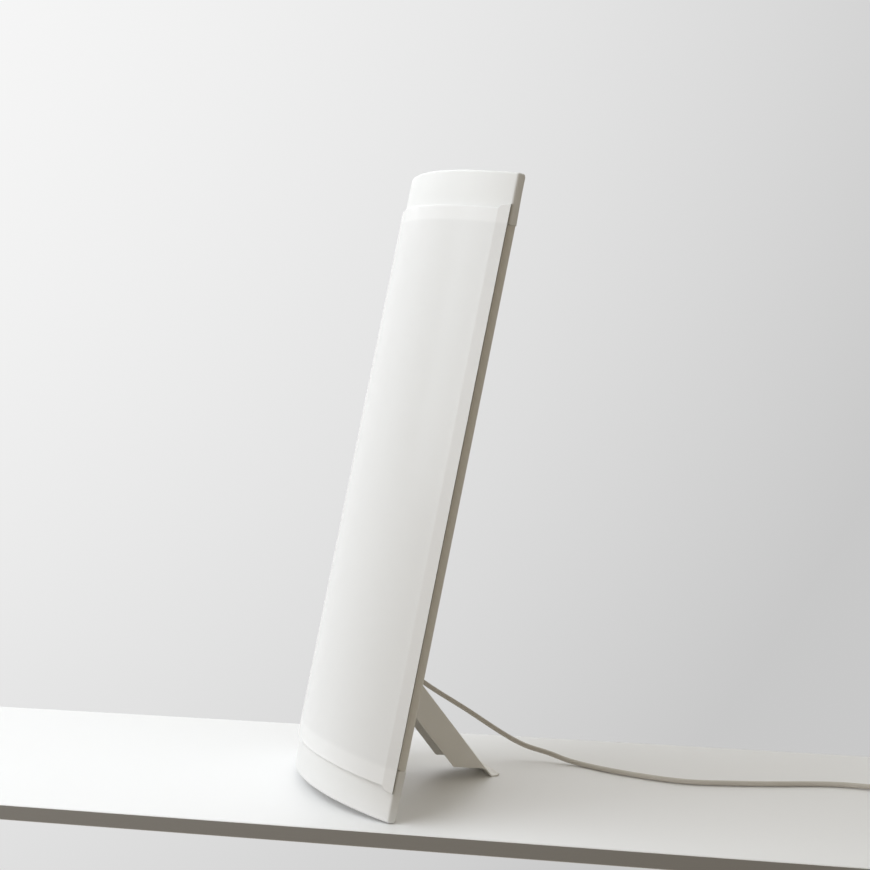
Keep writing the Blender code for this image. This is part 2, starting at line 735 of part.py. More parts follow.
def lamp_tube(offset):
    """One glass tube of a lamp, with a domed top, beside the lamp's middle."""
    top = LAMP_LENGTH
    radius = TUBE_DIAMETER / 2
    profile = [(radius, BASE_LENGTH + GAP), (radius, top - TUBE_DOME)]
    for step in range(1, BEND_STEPS + 1):
        angle = math.pi / 2 * step / (BEND_STEPS + 1)
        profile.append((radius * math.cos(angle), top - TUBE_DOME + TUBE_DOME * math.sin(angle)))
    return placed(turned(profile, ROUND_STEPS), Matrix.Translation((offset, 0, 0)))


def base_pins(length, diameter, extra):
    """Four round pins in a row under a lamp's base."""
    profile = [(diameter / 2, -length), (diameter / 2, extra)]
    return [placed(turned(profile, SMALL_ROUND_STEPS), Matrix.Translation((LAMP_PIN_PITCH * (index - 1.5), 0, 0)))
            for index in range(4)]


def build_lamp(name, x, body, materials):
    """A twin-tube lamp, its base, the holder under it and the clip near its top."""
    place = (x, -LAMP_DEPTH, LAMP_BOTTOM)
    glass = add_node(name + "_tube", lamp_tube(-TUBE_SPACING / 2), materials["glass"], body, place)
    join(glass, lamp_tube(TUBE_SPACING / 2), name + "_tube_twin")
    bridge = turned([(BRIDGE_DIAMETER / 2, -TUBE_SPACING / 2), (BRIDGE_DIAMETER / 2, TUBE_SPACING / 2)], ROUND_STEPS)
    turn = Matrix.Translation((0, 0, LAMP_LENGTH - BRIDGE_DROP)) @ Matrix.Rotation(math.pi / 2, 4, "Y")
    join(glass, placed(bridge, turn), name + "_tube_bridge")
    base = add_node(name + "_base", block((BASE_WIDTH, BASE_DEPTH, BASE_LENGTH), (0, 0, BASE_LENGTH / 2)),
                    materials["white plastic"], body, place)
    join(base, gathered(base_pins(LAMP_PIN_LENGTH, LAMP_PIN_DIAMETER, OVERRUN)), name + "_base_pins")
    depth = HOLDER_FRONT + PAN_INNER
    centre_y = -HOLDER_FRONT + depth / 2
    holder_place = (x, 0, HOLDER_BOTTOM)
    holder = add_node(name + "_holder", block((HOLDER_WIDTH, depth, HOLDER_HEIGHT), (0, centre_y, HOLDER_HEIGHT / 2)),
                      materials["white plastic"], body, holder_place)
    sockets = base_pins(LAMP_PIN_LENGTH + HOLE_CLEARANCE, LAMP_PIN_DIAMETER + 2 * HOLE_CLEARANCE, OVERRUN)
    shift = Matrix.Translation((0, -LAMP_DEPTH, HOLDER_HEIGHT + GAP))
    cut(holder, gathered([placed(one, shift) for one in sockets]), name + "_holder_sockets")
    build_tube_clip(name + "_clip", x, body, materials["white plastic"])


def build_tube_clip(name, x, body, plastic):
    """Saddle on the reflector's floor with a groove for each tube."""
    half = TUBE_SPACING / 2 + TUBE_DIAMETER / 2 + CLIP_WALL
    front = -LAMP_DEPTH
    rear = -REFLECTOR_FLOOR - GAP
    groove = TUBE_DIAMETER / 2 + GAP
    outline = [(-half, rear), (-half, front)]
    for middle in (-TUBE_SPACING / 2, TUBE_SPACING / 2):
        for step in range(ROUND_STEPS // 2 + 1):
            angle = math.pi * (1 - 2 * step / ROUND_STEPS)
            outline.append((middle + groove * math.cos(angle), front + groove * math.sin(angle)))
    outline += [(half, front), (half, rear)]
    level = LAMP_BOTTOM + LAMP_LENGTH - CLIP_INSET
    add_node(name, prism_up(outline, -CLIP_HEIGHT / 2, CLIP_HEIGHT / 2), plastic, body, (x, 0, level))


def ballast_screw_places():
    low = BALLAST_BOTTOM - BALLAST_TAB / 2
    return [(0, low), (0, low + BALLAST_LENGTH + BALLAST_TAB)]


def build_ballast(body, white, steel):
    """Slim electronic ballast with a screwed tab at each end."""
    middle = BALLAST_BOTTOM + BALLAST_LENGTH / 2
    case = block((BALLAST_WIDTH, BALLAST_DEPTH, BALLAST_LENGTH), (0, -BALLAST_DEPTH / 2, 0))
    ballast = add_node("ballast", case, white, body, (0, PAN_INNER, middle))
    tab = block((BALLAST_WIDTH - OVERRUN, BALLAST_TAB_SHEET, BALLAST_LENGTH + 2 * BALLAST_TAB),
                (0, -BALLAST_TAB_SHEET / 2, 0))
    join(ballast, tab, "ballast_tabs")
    hole = SCREW_SHANK + 2 * HOLE_CLEARANCE
    profile = [(hole / 2, -OVERRUN), (hole / 2, BALLAST_TAB_SHEET + OVERRUN)]
    holes = [placed(turned(profile, SMALL_ROUND_STEPS), facing_front(x, 0, z - middle))
             for x, z in ballast_screw_places()]
    cut(ballast, gathered(holes), "ballast_holes")
    add_screws("ballast_screw", ballast_screw_places(), GAP, SHORT_SCREW_LENGTH, body, steel)


def terminal_wells():
    """Sunk screw wells down the front of the terminal block, two for each way."""
    wells = []
    for level in terminal_levels():
        for side in (-1, 1):
            profile = [(TERMINAL_WELL / 2, -TERMINAL_WELL_DEPTH), (TERMINAL_WELL / 2, OVERRUN)]
            place = facing_front(side * TERMINAL_WIDTH / 4, -TERMINAL_DEPTH, level)
            wells.append(placed(turned(profile, SMALL_ROUND_STEPS), place))
    return wells


def terminal_levels():
    """Heights of the ways from the block's middle."""
    pitch = TERMINAL_LENGTH / TERMINAL_COUNT
    return [pitch * (index - (TERMINAL_COUNT - 1) / 2) for index in range(TERMINAL_COUNT)]


def build_terminal_block(body, plastic):
    """Three-way terminal block on the pan, under the reflector's ridge."""
    level = TERMINAL_BOTTOM + TERMINAL_LENGTH / 2
    form = block((TERMINAL_WIDTH, TERMINAL_DEPTH, TERMINAL_LENGTH), (0, -TERMINAL_DEPTH / 2, 0))
    terminal = add_node("terminal_block", form, plastic, body, (0, PAN_INNER, level))
    cut(terminal, gathered(terminal_wells()), "terminal_block_wells")


def smooth_points(places, spacing):
    """Evenly spaced points on the cubic curve through the places, with its length."""
    knots = np.array(places, dtype=float)
    steps = np.linalg.norm(np.diff(knots, axis=0), axis=1)
    at = np.concatenate([[0.0], np.cumsum(steps)])
    count = len(knots)
    system = np.zeros((count, count))
    right = np.zeros((count, 3))
    for index in range(count):
        if index in (0, count - 1):
            other = 1 if index == 0 else count - 2
            span = abs(at[other] - at[index])
            system[index, index] = 2 / span
            system[index, other] = 1 / span
            right[index] = 3 * (knots[max(index, other)] - knots[min(index, other)]) / span ** 2
            continue
        before, after = steps[index - 1], steps[index]
        system[index, index - 1] = 1 / before
        system[index, index] = 2 / before + 2 / after
        system[index, index + 1] = 1 / after
        right[index] = 3 * ((knots[index] - knots[index - 1]) / before ** 2
                            + (knots[index + 1] - knots[index]) / after ** 2)
    slopes = np.linalg.solve(system, right)
    fine = []
    for index in range(count - 1):
        span = steps[index]
        shares = np.linspace(0, 1, 40, endpoint=index == count - 2)[:, None]
        rise = knots[index + 1] - knots[index]
        bend_in = slopes[index] * span - rise
        bend_out = rise - slopes[index + 1] * span
        fine.append(knots[index] + shares * rise
                    + shares * (1 - shares) * ((1 - shares) * bend_in + shares * bend_out))
    fine = np.concatenate(fine)
    run = np.concatenate([[0.0], np.cumsum(np.linalg.norm(np.diff(fine, axis=0), axis=1))])
    pieces = max(2, round(run[-1] / spacing))
    wanted = np.linspace(0, run[-1], pieces + 1)
    return np.stack([np.interp(wanted, run, fine[:, axis]) for axis in range(3)], axis=1), run[-1]


def add_tube(name, points, diameter, resolution, material, parent=None):
    """Round tube along points, as a curve with a bevel and filled ends."""
    curve = bpy.data.curves.new(name, "CURVE")
    curve.dimensions = "3D"
    curve.bevel_depth = diameter / 2
    curve.bevel_resolution = resolution
    curve.use_fill_caps = True
    spline = curve.splines.new("POLY")
    spline.points.add(len(points) - 1)
    for point, place in zip(spline.points, points):
        point.co = (*place, 1.0)
    obj = bpy.data.objects.new(name, curve)
    obj.data.materials.append(material)
    obj.parent = parent
    bpy.context.collection.objects.link(obj)
    return obj


def add_wire(name, route, diameter, material, body):
    """One insulated wire along a route inside the lamp."""
    points, _ = smooth_points(route, 2 * diameter)
    add_tube(name, points, diameter, 1, material, body)


def build_mains_cores(insulation, body):
    """Three cores from the bush to the left side of the terminal block."""
    exit_x, exit_z = CORD_EXIT
    start = GAP - PAN_SHEET - 2 * GAP - BUSH_RING_SHEET - GAP
    block_x = -TERMINAL_WIDTH / 2 - GAP
    middle = TERMINAL_BOTTOM + TERMINAL_LENGTH / 2
    for name, level in zip(("core_earth", "core_neutral", "core_live"), terminal_levels()):
        way = middle + level
        from_z = exit_z + level * CORE_START_SHARE
        add_wire(name, [
            (exit_x, start, from_z),
            (exit_x, start - CORE_DIAMETER, from_z),
            (exit_x + CORE_DIAMETER / 2, start - CORE_DIAMETER * 1.6, from_z),
            (exit_x + CORE_DIAMETER * 2, start - CORE_DIAMETER * 1.8, from_z - CORE_DIAMETER / 2),
            ((exit_x + block_x) / 2, start - CORE_DIAMETER * 1.5, (from_z + way) / 2),
            (block_x - CORE_DIAMETER * 3, start - CORE_DIAMETER * 1.5, way),
            (block_x, start - CORE_DIAMETER * 1.5, way),
        ], CORE_DIAMETER, insulation, body)


def build_switch_wires(insulation, body):
    """Wires from the terminal block to the switch, from the switch to the ballast, and the neutral past both."""
    block_x = TERMINAL_WIDTH / 2 + GAP
    middle = TERMINAL_BOTTOM + TERMINAL_LENGTH / 2
    _, neutral, live = terminal_levels()
    blade_y = GAP - SWITCH_BODY_DEPTH - BLADE_LENGTH / 2
    blade_gap = BLADE[1] / 2 + GAP
    below = SWITCH_HEIGHT - BLADE_PITCH / 2 - blade_gap
    above = SWITCH_HEIGHT + BLADE_PITCH / 2 + blade_gap
    box_low = SWITCH_HEIGHT - SWITCH_BODY[1] / 2
    low = BALLAST_BOTTOM - GAP
    beside = RIDGE_HALF + CORE_DIAMETER
    add_wire("switch_feed_wire", [
        (block_x, -WIRE_DEPTH, middle + live),
        (block_x + CORE_DIAMETER, -WIRE_DEPTH, middle + live),
        (beside, -WIRE_DEPTH - CORE_DIAMETER, middle + TERMINAL_LENGTH),
        (beside, -WIRE_DEPTH - CORE_DIAMETER, PIVOT_HEIGHT + BRACKET_SCREW_PITCH / 2),
        (beside / 2, blade_y + CORE_DIAMETER * 2, box_low - TERMINAL_LENGTH),
        (CORE_DIAMETER / 2, blade_y, box_low - CORE_DIAMETER * 2),
        (0, blade_y, below - CORE_DIAMETER),
        (0, blade_y, below),
    ], CORE_DIAMETER, insulation, body)
    add_wire("switch_load_wire", [
        (0, blade_y, above),
        (0, blade_y, above + CORE_DIAMETER * 2),
        (0, blade_y + CORE_DIAMETER, (above + low) / 2 + CORE_DIAMETER),
        (0, blade_y + CORE_DIAMETER * 1.5, low - CORE_DIAMETER),
        (0, blade_y + CORE_DIAMETER * 1.5, low),
    ], CORE_DIAMETER, insulation, body)
    add_wire("neutral_wire", [
        (block_x, -WIRE_DEPTH, middle + neutral),
        (block_x + CORE_DIAMETER, -WIRE_DEPTH, middle + neutral),
        (beside + CORE_DIAMETER * 2, -WIRE_DEPTH - CORE_DIAMETER / 2, middle + TERMINAL_LENGTH),
        (beside + CORE_DIAMETER * 2, -WIRE_DEPTH - CORE_DIAMETER / 2, PIVOT_HEIGHT + BRACKET_SCREW_PITCH),
        (beside, -WIRE_DEPTH - CORE_DIAMETER, SWITCH_HEIGHT),
        (BALLAST_WIDTH / 4, -WIRE_DEPTH - CORE_DIAMETER, low - CORE_DIAMETER * 3),
        (BALLAST_WIDTH / 4, -WIRE_DEPTH - CORE_DIAMETER, low - CORE_DIAMETER),
        (BALLAST_WIDTH / 4, -WIRE_DEPTH - CORE_DIAMETER, low),
    ], CORE_DIAMETER, insulation, body)


def build_lamp_leads(insulation, body):
    """Sleeved lead from the ballast to each lampholder, round the outside of the cord's bush."""
    low = BALLAST_BOTTOM - GAP
    holder_top = HOLDER_BOTTOM + HOLDER_HEIGHT + GAP
    start_x = BALLAST_WIDTH / 2 - LEAD_DIAMETER
    lamp_x = LAMP_SPREAD / 2
    out_x = lamp_x + BUSH_FLANGE
    for name, side in (("lamp_lead_left", -1), ("lamp_lead_right", 1)):
        add_wire(name, [
            (side * start_x, -LEAD_DEPTH - LEAD_DIAMETER, low),
            (side * start_x, -LEAD_DEPTH - LEAD_DIAMETER, low - LEAD_DIAMETER),
            (side * BALLAST_WIDTH, -LEAD_DEPTH, low - BALLAST_WIDTH / 2),
            (side * lamp_x, -LEAD_DEPTH, low - BALLAST_WIDTH * 1.5),
            (side * (out_x + LEAD_DIAMETER), -LEAD_DEPTH, low - BALLAST_WIDTH * 2.5),
            (side * (out_x + LEAD_DIAMETER * 2), -LEAD_DEPTH, low - BALLAST_WIDTH * 3.5),
            (side * out_x, -LEAD_DEPTH, holder_top + BALLAST_WIDTH),
            (side * lamp_x, -LEAD_DEPTH, holder_top + BALLAST_WIDTH / 3),
            (side * lamp_x, -LEAD_DEPTH, holder_top),
        ], LEAD_DIAMETER, insulation, body)


def strut_floor(outset):
    """Distance down the strut, from its axis, at which a line parallel to its web meets the floor."""
    axis_height = PIVOT_HEIGHT * math.cos(LEAN) - PIVOT_DEPTH * math.sin(LEAN) + FLOOR_LIFT
    steep = STRUT_DIP + LEAN
    return (axis_height + outset * math.cos(steep)) / math.sin(steep)


def strut_path():
    """Underside of the strut's web and foot in the strut's own plane: down the web, then outward."""
    steep = STRUT_DIP + LEAN
    stop = (GAP - PIVOT_DEPTH - STRUT_INNER * math.sin(STRUT_DIP)) / math.cos(STRUT_DIP)
    heel = Vector((strut_floor(STRUT_INNER), STRUT_INNER))
    along_floor = Vector((math.cos(steep), math.sin(steep)))
    curl = steep + FOOT_CURL_ANGLE
    toe = heel + along_floor * FOOT_FLAT
    tip = toe + Vector((math.cos(curl), math.sin(curl))) * FOOT_CURL
    points = [(stop, STRUT_INNER), tuple(heel), tuple(toe), tuple(tip)]
    return rounded(points, [0, FOOT_BEND, CURL_BEND, 0], BEND_STEPS, False)


def strut_flange():
    """Outline of one side flange: round the pin, up to the web, down to the slanting cut."""
    foot = strut_floor(STRUT_OUTER)
    points = [(foot - FLANGE_CUT_WEB, STRUT_OUTER), (-STRUT_TOP, STRUT_OUTER)]
    first = math.pi + STRUT_DIP
    last = 3 * math.pi / 2
    for step in range(2 * BEND_STEPS + 1):
        angle = first + (last - first) * step / (2 * BEND_STEPS)
        points.append((STRUT_EDGE * math.cos(angle), STRUT_EDGE * math.sin(angle)))
    points.append((foot - FLANGE_CUT_FRONT, -STRUT_EDGE))
    return points


def build_strut(body, white, steel):
    """Folding strut, hung on its pin between the bracket's ears."""
    half = STRUT_WIDTH / 2
    place = (0, PIVOT_DEPTH, PIVOT_HEIGHT)
    opened = (-STRUT_DIP, 0, 0)
    strut = add_node("strut", prism_across(sheet_outline(strut_path(), STRUT_SHEET), -half, half),
                     white, body, place, opened)
    for side, name in ((-1, "strut_left_flange"), (1, "strut_right_flange")):
        edges = sorted((side * half, side * (half - STRUT_SHEET)))
        join(strut, prism_across(strut_flange(), *edges), name)
    hole = PIN_DIAMETER + 2 * HOLE_CLEARANCE
    across = prism_across(circle((0, 0), hole / 2, ROUND_STEPS), -half - OVERRUN, half + OVERRUN)
    cut(strut, across, "strut_pin_hole")
    inner, outer = half + GAP, half + GAP + PIN_HEAD_HEIGHT
    radii = (PIN_HEAD / 2, PIN_HEAD / 2, PIN_DIAMETER / 2, PIN_DIAMETER / 2, PIN_HEAD / 2, PIN_HEAD / 2)
    profile = list(zip(radii, (-outer, -inner, -inner, inner, inner, outer)))
    add_node("strut_pin", turned(profile, ROUND_STEPS), steel, body, place, (0, math.pi / 2, 0))


def bracket_screw_places():
    return [(across * BRACKET_SCREW_SPREAD / 2, PIVOT_HEIGHT + up * BRACKET_SCREW_PITCH / 2)
            for across in (-1, 1) for up in (-1, 1)]


def build_bracket(body, white, steel):
    """Bracket on the back whose two ears carry the strut's pin, and its four screws."""
    outer = STRUT_WIDTH / 2 - STRUT_SHEET - BRACKET_SIDE_CLEARANCE
    depth = PIVOT_DEPTH - GAP
    plate = block((2 * outer, BRACKET_SHEET, 2 * BRACKET_HALF_HEIGHT), (0, BRACKET_SHEET / 2, 0))
    bracket = add_node("strut_bracket", plate, white, body, (0, GAP, PIVOT_HEIGHT))
    nose = [(depth + BRACKET_NOSE * math.sin(math.pi * step / ROUND_STEPS),
             -BRACKET_NOSE * math.cos(math.pi * step / ROUND_STEPS)) for step in range(ROUND_STEPS + 1)]
    ear = [(0, -BRACKET_NOSE)] + nose + [(0, BRACKET_NOSE)]
    for side, name in ((-1, "bracket_left_ear"), (1, "bracket_right_ear")):
        edges = sorted((side * outer, side * (outer - BRACKET_SHEET)))
        join(bracket, prism_across(ear, *edges), name)
    hole = PIN_DIAMETER + 2 * HOLE_CLEARANCE
    pin_hole = prism_across(circle((depth, 0), hole / 2, ROUND_STEPS), -outer - OVERRUN, outer + OVERRUN)
    cut(bracket, pin_hole, "bracket_pin_hole")
    screw_hole = SCREW_SHANK + 2 * HOLE_CLEARANCE
    profile = [(screw_hole / 2, -OVERRUN), (screw_hole / 2, BRACKET_SHEET + OVERRUN)]
    holes = [placed(turned(profile, SMALL_ROUND_STEPS), facing_back(x, 0, z - PIVOT_HEIGHT))
             for x, z in bracket_screw_places()]
    cut(bracket, gathered(holes), "bracket_screw_holes")
    seat = GAP + BRACKET_SHEET + GAP
    add_screws("bracket_screw", bracket_screw_places(), seat, CAP_SCREW_LENGTH, body, steel)


def rocker_outline():
    """Side of the rocker about its axis: (outward, up) points with round ends and a dished top."""
    reach = SWITCH_WINDOW[1] / 2 - ROCKER_CLEARANCE
    high = math.asin(ROCKER_RISE / reach)
    ends = []
    for step in range(2 * BEND_STEPS + 1):
        angle = ROCKER_END_LOW + (high - ROCKER_END_LOW) * step / (2 * BEND_STEPS)
        ends.append((reach * math.sin(angle), reach * math.cos(angle)))
    return ends + [(ROCKER_MIDDLE_RISE, 0)] + [(out, -up) for out, up in reversed(ends)]


def build_switch(body, black, steel):
    """Snap-in switch: bezel and housing in one, the rocker on its trunnions and two blades."""
    place = (0, GAP, SWITCH_HEIGHT)
    bezel_wide, bezel_tall = SWITCH_BEZEL
    body_wide, body_tall = SWITCH_BODY
    window_wide, window_tall = SWITCH_WINDOW
    bezel = block((bezel_wide, SWITCH_BEZEL_SHEET, bezel_tall), (0, SWITCH_BEZEL_SHEET / 2, 0))
    housing = add_node("switch_housing", bezel, black, body, place)
    depth = SWITCH_BODY_DEPTH + SWITCH_BEZEL_SHEET / 2
    join(housing, block((body_wide, depth, body_tall), (0, SWITCH_BEZEL_SHEET / 2 - depth / 2, 0)), "switch_box")
    well = SWITCH_WELL_DEPTH + OVERRUN
    cut(housing, block((window_wide, well, window_tall),
                       (0, SWITCH_BEZEL_SHEET + OVERRUN - well / 2, 0)), "switch_well")
    axis = SWITCH_BEZEL_SHEET - ROCKER_AXIS_DEPTH
    socket = TRUNNION_DIAMETER / 2 + HOLE_CLEARANCE
    reach = window_wide / 2 + TRUNNION_LENGTH
    cut(housing, prism_across(circle((axis, 0), socket, SMALL_ROUND_STEPS), -reach, reach), "switch_trunnion_holes")
    half = window_wide / 2 - ROCKER_CLEARANCE
    rocker = add_node("switch_rocker", prism_across(rocker_outline(), -half, half), black, body,
                      (0, GAP + axis, SWITCH_HEIGHT), (ROCKER_TILT, 0, 0))
    end = half + TRUNNION_LENGTH
    join(rocker, prism_across(circle((0, 0), TRUNNION_DIAMETER / 2, SMALL_ROUND_STEPS), -end, end), "rocker_trunnions")
    rear = -SWITCH_BODY_DEPTH
    for name, up in (("switch_blade_lower", -1), ("switch_blade_upper", 1)):
        level = up * BLADE_PITCH / 2
        wide, tall = (side + 2 * GAP for side in BLADE)
        slot = block((wide, 2 * BLADE_SEAT, tall), (0, rear, level))
        cut(housing, slot, name + "_slot")
        length = BLADE_LENGTH + BLADE_SEAT - GAP
        centre = rear + BLADE_SEAT - GAP - length / 2
        add_node(name, block((BLADE[0], length, BLADE[1]), (0, centre, level)), steel, body, place)


def build_cord_exit(body, white):
    """Snap-in bush in the back, and the ribbed sleeve that guards the cord."""
    x, z = CORD_EXIT
    inner = -PAN_SHEET - 2 * GAP
    profile = [
        (BUSH_RING / 2, inner - BUSH_RING_SHEET), (BUSH_RING / 2, inner), (BUSH_NECK / 2, inner),
        (BUSH_NECK / 2, 0), (BUSH_FLANGE / 2, 0), (BUSH_FLANGE / 2, BUSH_FLANGE_SHEET),
    ]
    add_node("cord_bush", turned(profile, ROUND_STEPS), white, body, (x, GAP, z), (-math.pi / 2, 0, 0))
    sleeve = [(SLEEVE_WIDE / 2, 0)]
    grooved = (0, SLEEVE_GROOVE_SHARE, SLEEVE_GROOVE_SHARE, 0)
    for rib in range(SLEEVE_RIBS):
        for share, narrow in zip(SLEEVE_RIB_SHARES, grooved):
            along = (rib + share) / SLEEVE_RIBS
            radius = (SLEEVE_WIDE + (SLEEVE_NARROW - SLEEVE_WIDE) * along) / 2
            sleeve.append((radius * (1 - narrow), along * SLEEVE_LENGTH))
    add_node("strain_relief", turned(sleeve, ROUND_STEPS), white, body,
             (x, BUSH_FACE + GAP, z), (-math.pi / 2, 0, 0))


def coil_points():
    """Centre line of the two-layer coil: inward on the floor, a climb, then outward on top."""
    total = COIL_TURNS * 2 * math.pi
    middle = total / 2
    low = CORD_DIAMETER / 2 + COIL_LIFT
    count = round(COIL_TURNS * TURN_POINTS)
    points = []
    for step in range(count + 1):
        turned_by = total * step / count
        radius = COIL_BEND + COIL_STEP * abs(turned_by - middle) / (2 * math.pi)
        climb = min(1, max(0, (turned_by - middle) / math.pi + 0.5))
        height = low + COIL_STEP * climb * climb * (3 - 2 * climb)
        angle = COIL_START + turned_by
        points.append((COIL_CENTRE[0] + radius * math.cos(angle), COIL_CENTRE[1] + radius * math.sin(angle), height))
    return points


def with_straight_ends(points):
    """Points with a straight run of one cord's diameter added before and after."""
    first, second, last_but_one, last = (Vector(points[index]) for index in (0, 1, -2, -1))
    lead = first + (first - second).normalized() * CORD_DIAMETER
    trail = last + (last - last_but_one).normalized() * CORD_DIAMETER
    return [tuple(lead)] + list(points) + [tuple(trail)]


def beyond(point, towards, distance):
    """Place past a point, away from where it came."""
    here = Vector(point)
    return tuple(here + (here - Vector(towards)).normalized() * distance)


def least_gap(points, diameter):
    """Smallest clear distance between stretches of a tube more than half a turn apart."""
    line = np.array(points)
    fine = np.concatenate([line[:-1] + (line[1:] - line[:-1]) * share for share in np.linspace(0, 1, 4)[:-1]])
    order = np.concatenate([np.arange(len(line) - 1) + share for share in np.linspace(0, 1, 4)[:-1]])
    apart = np.linalg.norm(fine[:, None] - fine[None], axis=2)
    apart[np.abs(order[:, None] - order[None]) < TURN_POINTS / 2] = np.inf
    return float(apart.min()) - diameter


def length_of(points):
    line = np.array(points)
    return float(np.linalg.norm(np.diff(line, axis=0), axis=1).sum())


def build_cord(body, cord_white, tie_black):
    """Free cord, its coil and tie, and the tail to the plug."""
    to_world = body_matrix()
    x, z = CORD_EXIT
    start = to_world @ Vector((x, SLEEVE_TIP + GAP, z))
    straight = to_world @ Vector((x, SLEEVE_TIP + GAP + CORD_DIAMETER, z))
    coil = with_straight_ends(coil_points())
    entry = beyond(coil[0], coil[1], GAP)
    run_in = beyond(entry, coil[0], CORD_DIAMETER)
    run_in_far = beyond(entry, coil[0], 3 * CORD_DIAMETER)
    route = [tuple(start), tuple(straight), *CORD_PLACES, run_in_far, run_in, entry]
    free, free_length = smooth_points(route, 2.5 * CORD_DIAMETER)
    add_tube("cord", free, CORD_DIAMETER, 2, cord_white)
    add_tube("cord_coil", coil, CORD_DIAMETER, 1, cord_white)
    leave = beyond(coil[-1], coil[-2], GAP)
    run_out = beyond(leave, coil[-1], CORD_DIAMETER)
    plug_end = plug_matrix() @ Vector((-PLUG_HEAD - PLUG_GRIP - PLUG_NECK - GAP, 0, 0))
    plug_near = plug_matrix() @ Vector((-PLUG_HEAD - PLUG_GRIP - PLUG_NECK - GAP - 2 * CORD_DIAMETER, 0, 0))
    tail_route = [leave, run_out, *TAIL_PLACES, tuple(plug_near), tuple(plug_end)]
    tail, tail_length = smooth_points(tail_route, 2.5 * CORD_DIAMETER)
    add_tube("cord_tail", tail, CORD_DIAMETER, 2, cord_white)
    total = free_length + length_of(coil) + tail_length
    print("cord: free %.4f coil %.4f tail %.4f total %.4f of %.2f" % (
        free_length, length_of(coil), tail_length, total, CORD_LENGTH))
    print("coil: least gap to itself %.2f mm" % (least_gap(coil, CORD_DIAMETER) * 1000))
    build_tie(coil, tie_black)


def build_tie(coil, tie_black):
    """Flat tie wrapped once round the coil's turns, as a loop of strip."""
    half = TIE_WIDTH / 2
    turn = Matrix.Rotation(-TIE_ANGLE, 2)
    held = [(*(turn @ (Vector(point[:2]) - Vector(COIL_CENTRE))), point[2]) for point in coil]
    held = [(x, z) for x, y, z in held if x > 0 and abs(y) < TIE_WIDTH + CORD_DIAMETER]
    radius = CORD_DIAMETER / 2 + GAP
    near = min(x for x, _ in held) - radius - TIE_WIDTH ** 2 / 8 / COIL_BEND
    far = max(x for x, _ in held) + radius
    low = min(z for _, z in held) - radius
    high = max(z for _, z in held) + radius
    rings = []
    for grow, side in ((TIE_SHEET, -half), (TIE_SHEET, half), (0, half), (0, -half)):
        corners = [(near - grow, low - grow), (far + grow, low - grow), (far + grow, high + grow), (near - grow, high + grow)]
        rings.append([(x, side, z) for x, z in corners])
    bm = bmesh.new()
    loops = [[bm.verts.new(point) for point in ring] for ring in rings]
    for ring, following in zip(loops, loops[1:] + loops[:1]):
        for corner in range(4):
            after = (corner + 1) % 4
            bm.faces.new((ring[corner], ring[after], following[after], following[corner]))
    bmesh.ops.recalc_face_normals(bm, faces=bm.faces)
    add_node("coil_tie", bm, tie_black, None, (*COIL_CENTRE, 0), (0, 0, TIE_ANGLE))


def plug_height():
    return PLUG_THICKNESS / 2 + PLUG_CLEAR


def plug_matrix():
    """World place of the plug: X along its pins, from the face's middle."""
    return Matrix.Translation((*PLUG_FACE, plug_height())) @ Matrix.Rotation(PLUG_HEADING, 4, "Z")


def oval(width, thickness, squareness, steps):
    """Rounded section between an ellipse and a rectangle, as (across, up) points."""
    points = []
    for step in range(steps):
        angle = 2 * math.pi * (step + 0.5) / steps
        across = math.copysign(abs(math.cos(angle)) ** (2 / squareness), math.cos(angle))
        up = math.copysign(abs(math.sin(angle)) ** (2 / squareness), math.sin(angle))
        points.append((across * width / 2, up * thickness / 2))
    return points


def plug_body():
    """Plug body from its face back to the cord: broad head, waisted grip and slim neck."""
    steps = ROUND_STEPS + 8
    end = -PLUG_HEAD - PLUG_GRIP - PLUG_NECK
    square, squarish, softer, round_end = PLUG_SQUARENESS_SHARES
    along, wider = PLUG_NECK_TAPER_SHARES
    middle_width = (PLUG_WIDTH + PLUG_GRIP_WIDTH) / 2
    middle_thickness = (PLUG_THICKNESS + PLUG_GRIP_WIDTH) / 2
    stations = [
        (0, PLUG_WIDTH - 2 * PLUG_FILLET, PLUG_THICKNESS - 2 * PLUG_FILLET, square),
        (-PLUG_FILLET, PLUG_WIDTH, PLUG_THICKNESS, square),
        (-PLUG_HEAD, PLUG_WIDTH, PLUG_THICKNESS, square),
        (-PLUG_HEAD - PLUG_GRIP / 3, middle_width, middle_thickness, squarish),
        (-PLUG_HEAD - PLUG_GRIP, PLUG_GRIP_WIDTH, PLUG_GRIP_WIDTH, softer),
        (end + PLUG_NECK * along, PLUG_NECK_WIDTH * wider, PLUG_NECK_WIDTH * wider, round_end),
        (end, PLUG_NECK_WIDTH, PLUG_NECK_WIDTH, round_end),
    ]
    return loft([[(x, y, z) for y, z in oval(wide, thick, bulge, steps)] for x, wide, thick, bulge in stations])


def along_plug(profile, y, z):
    """Turned body laid along the plug's X axis."""
    return placed(turned(profile, SMALL_ROUND_STEPS), Matrix.Translation((0, y, z)) @ Matrix.Rotation(math.pi / 2, 4, "Y"))


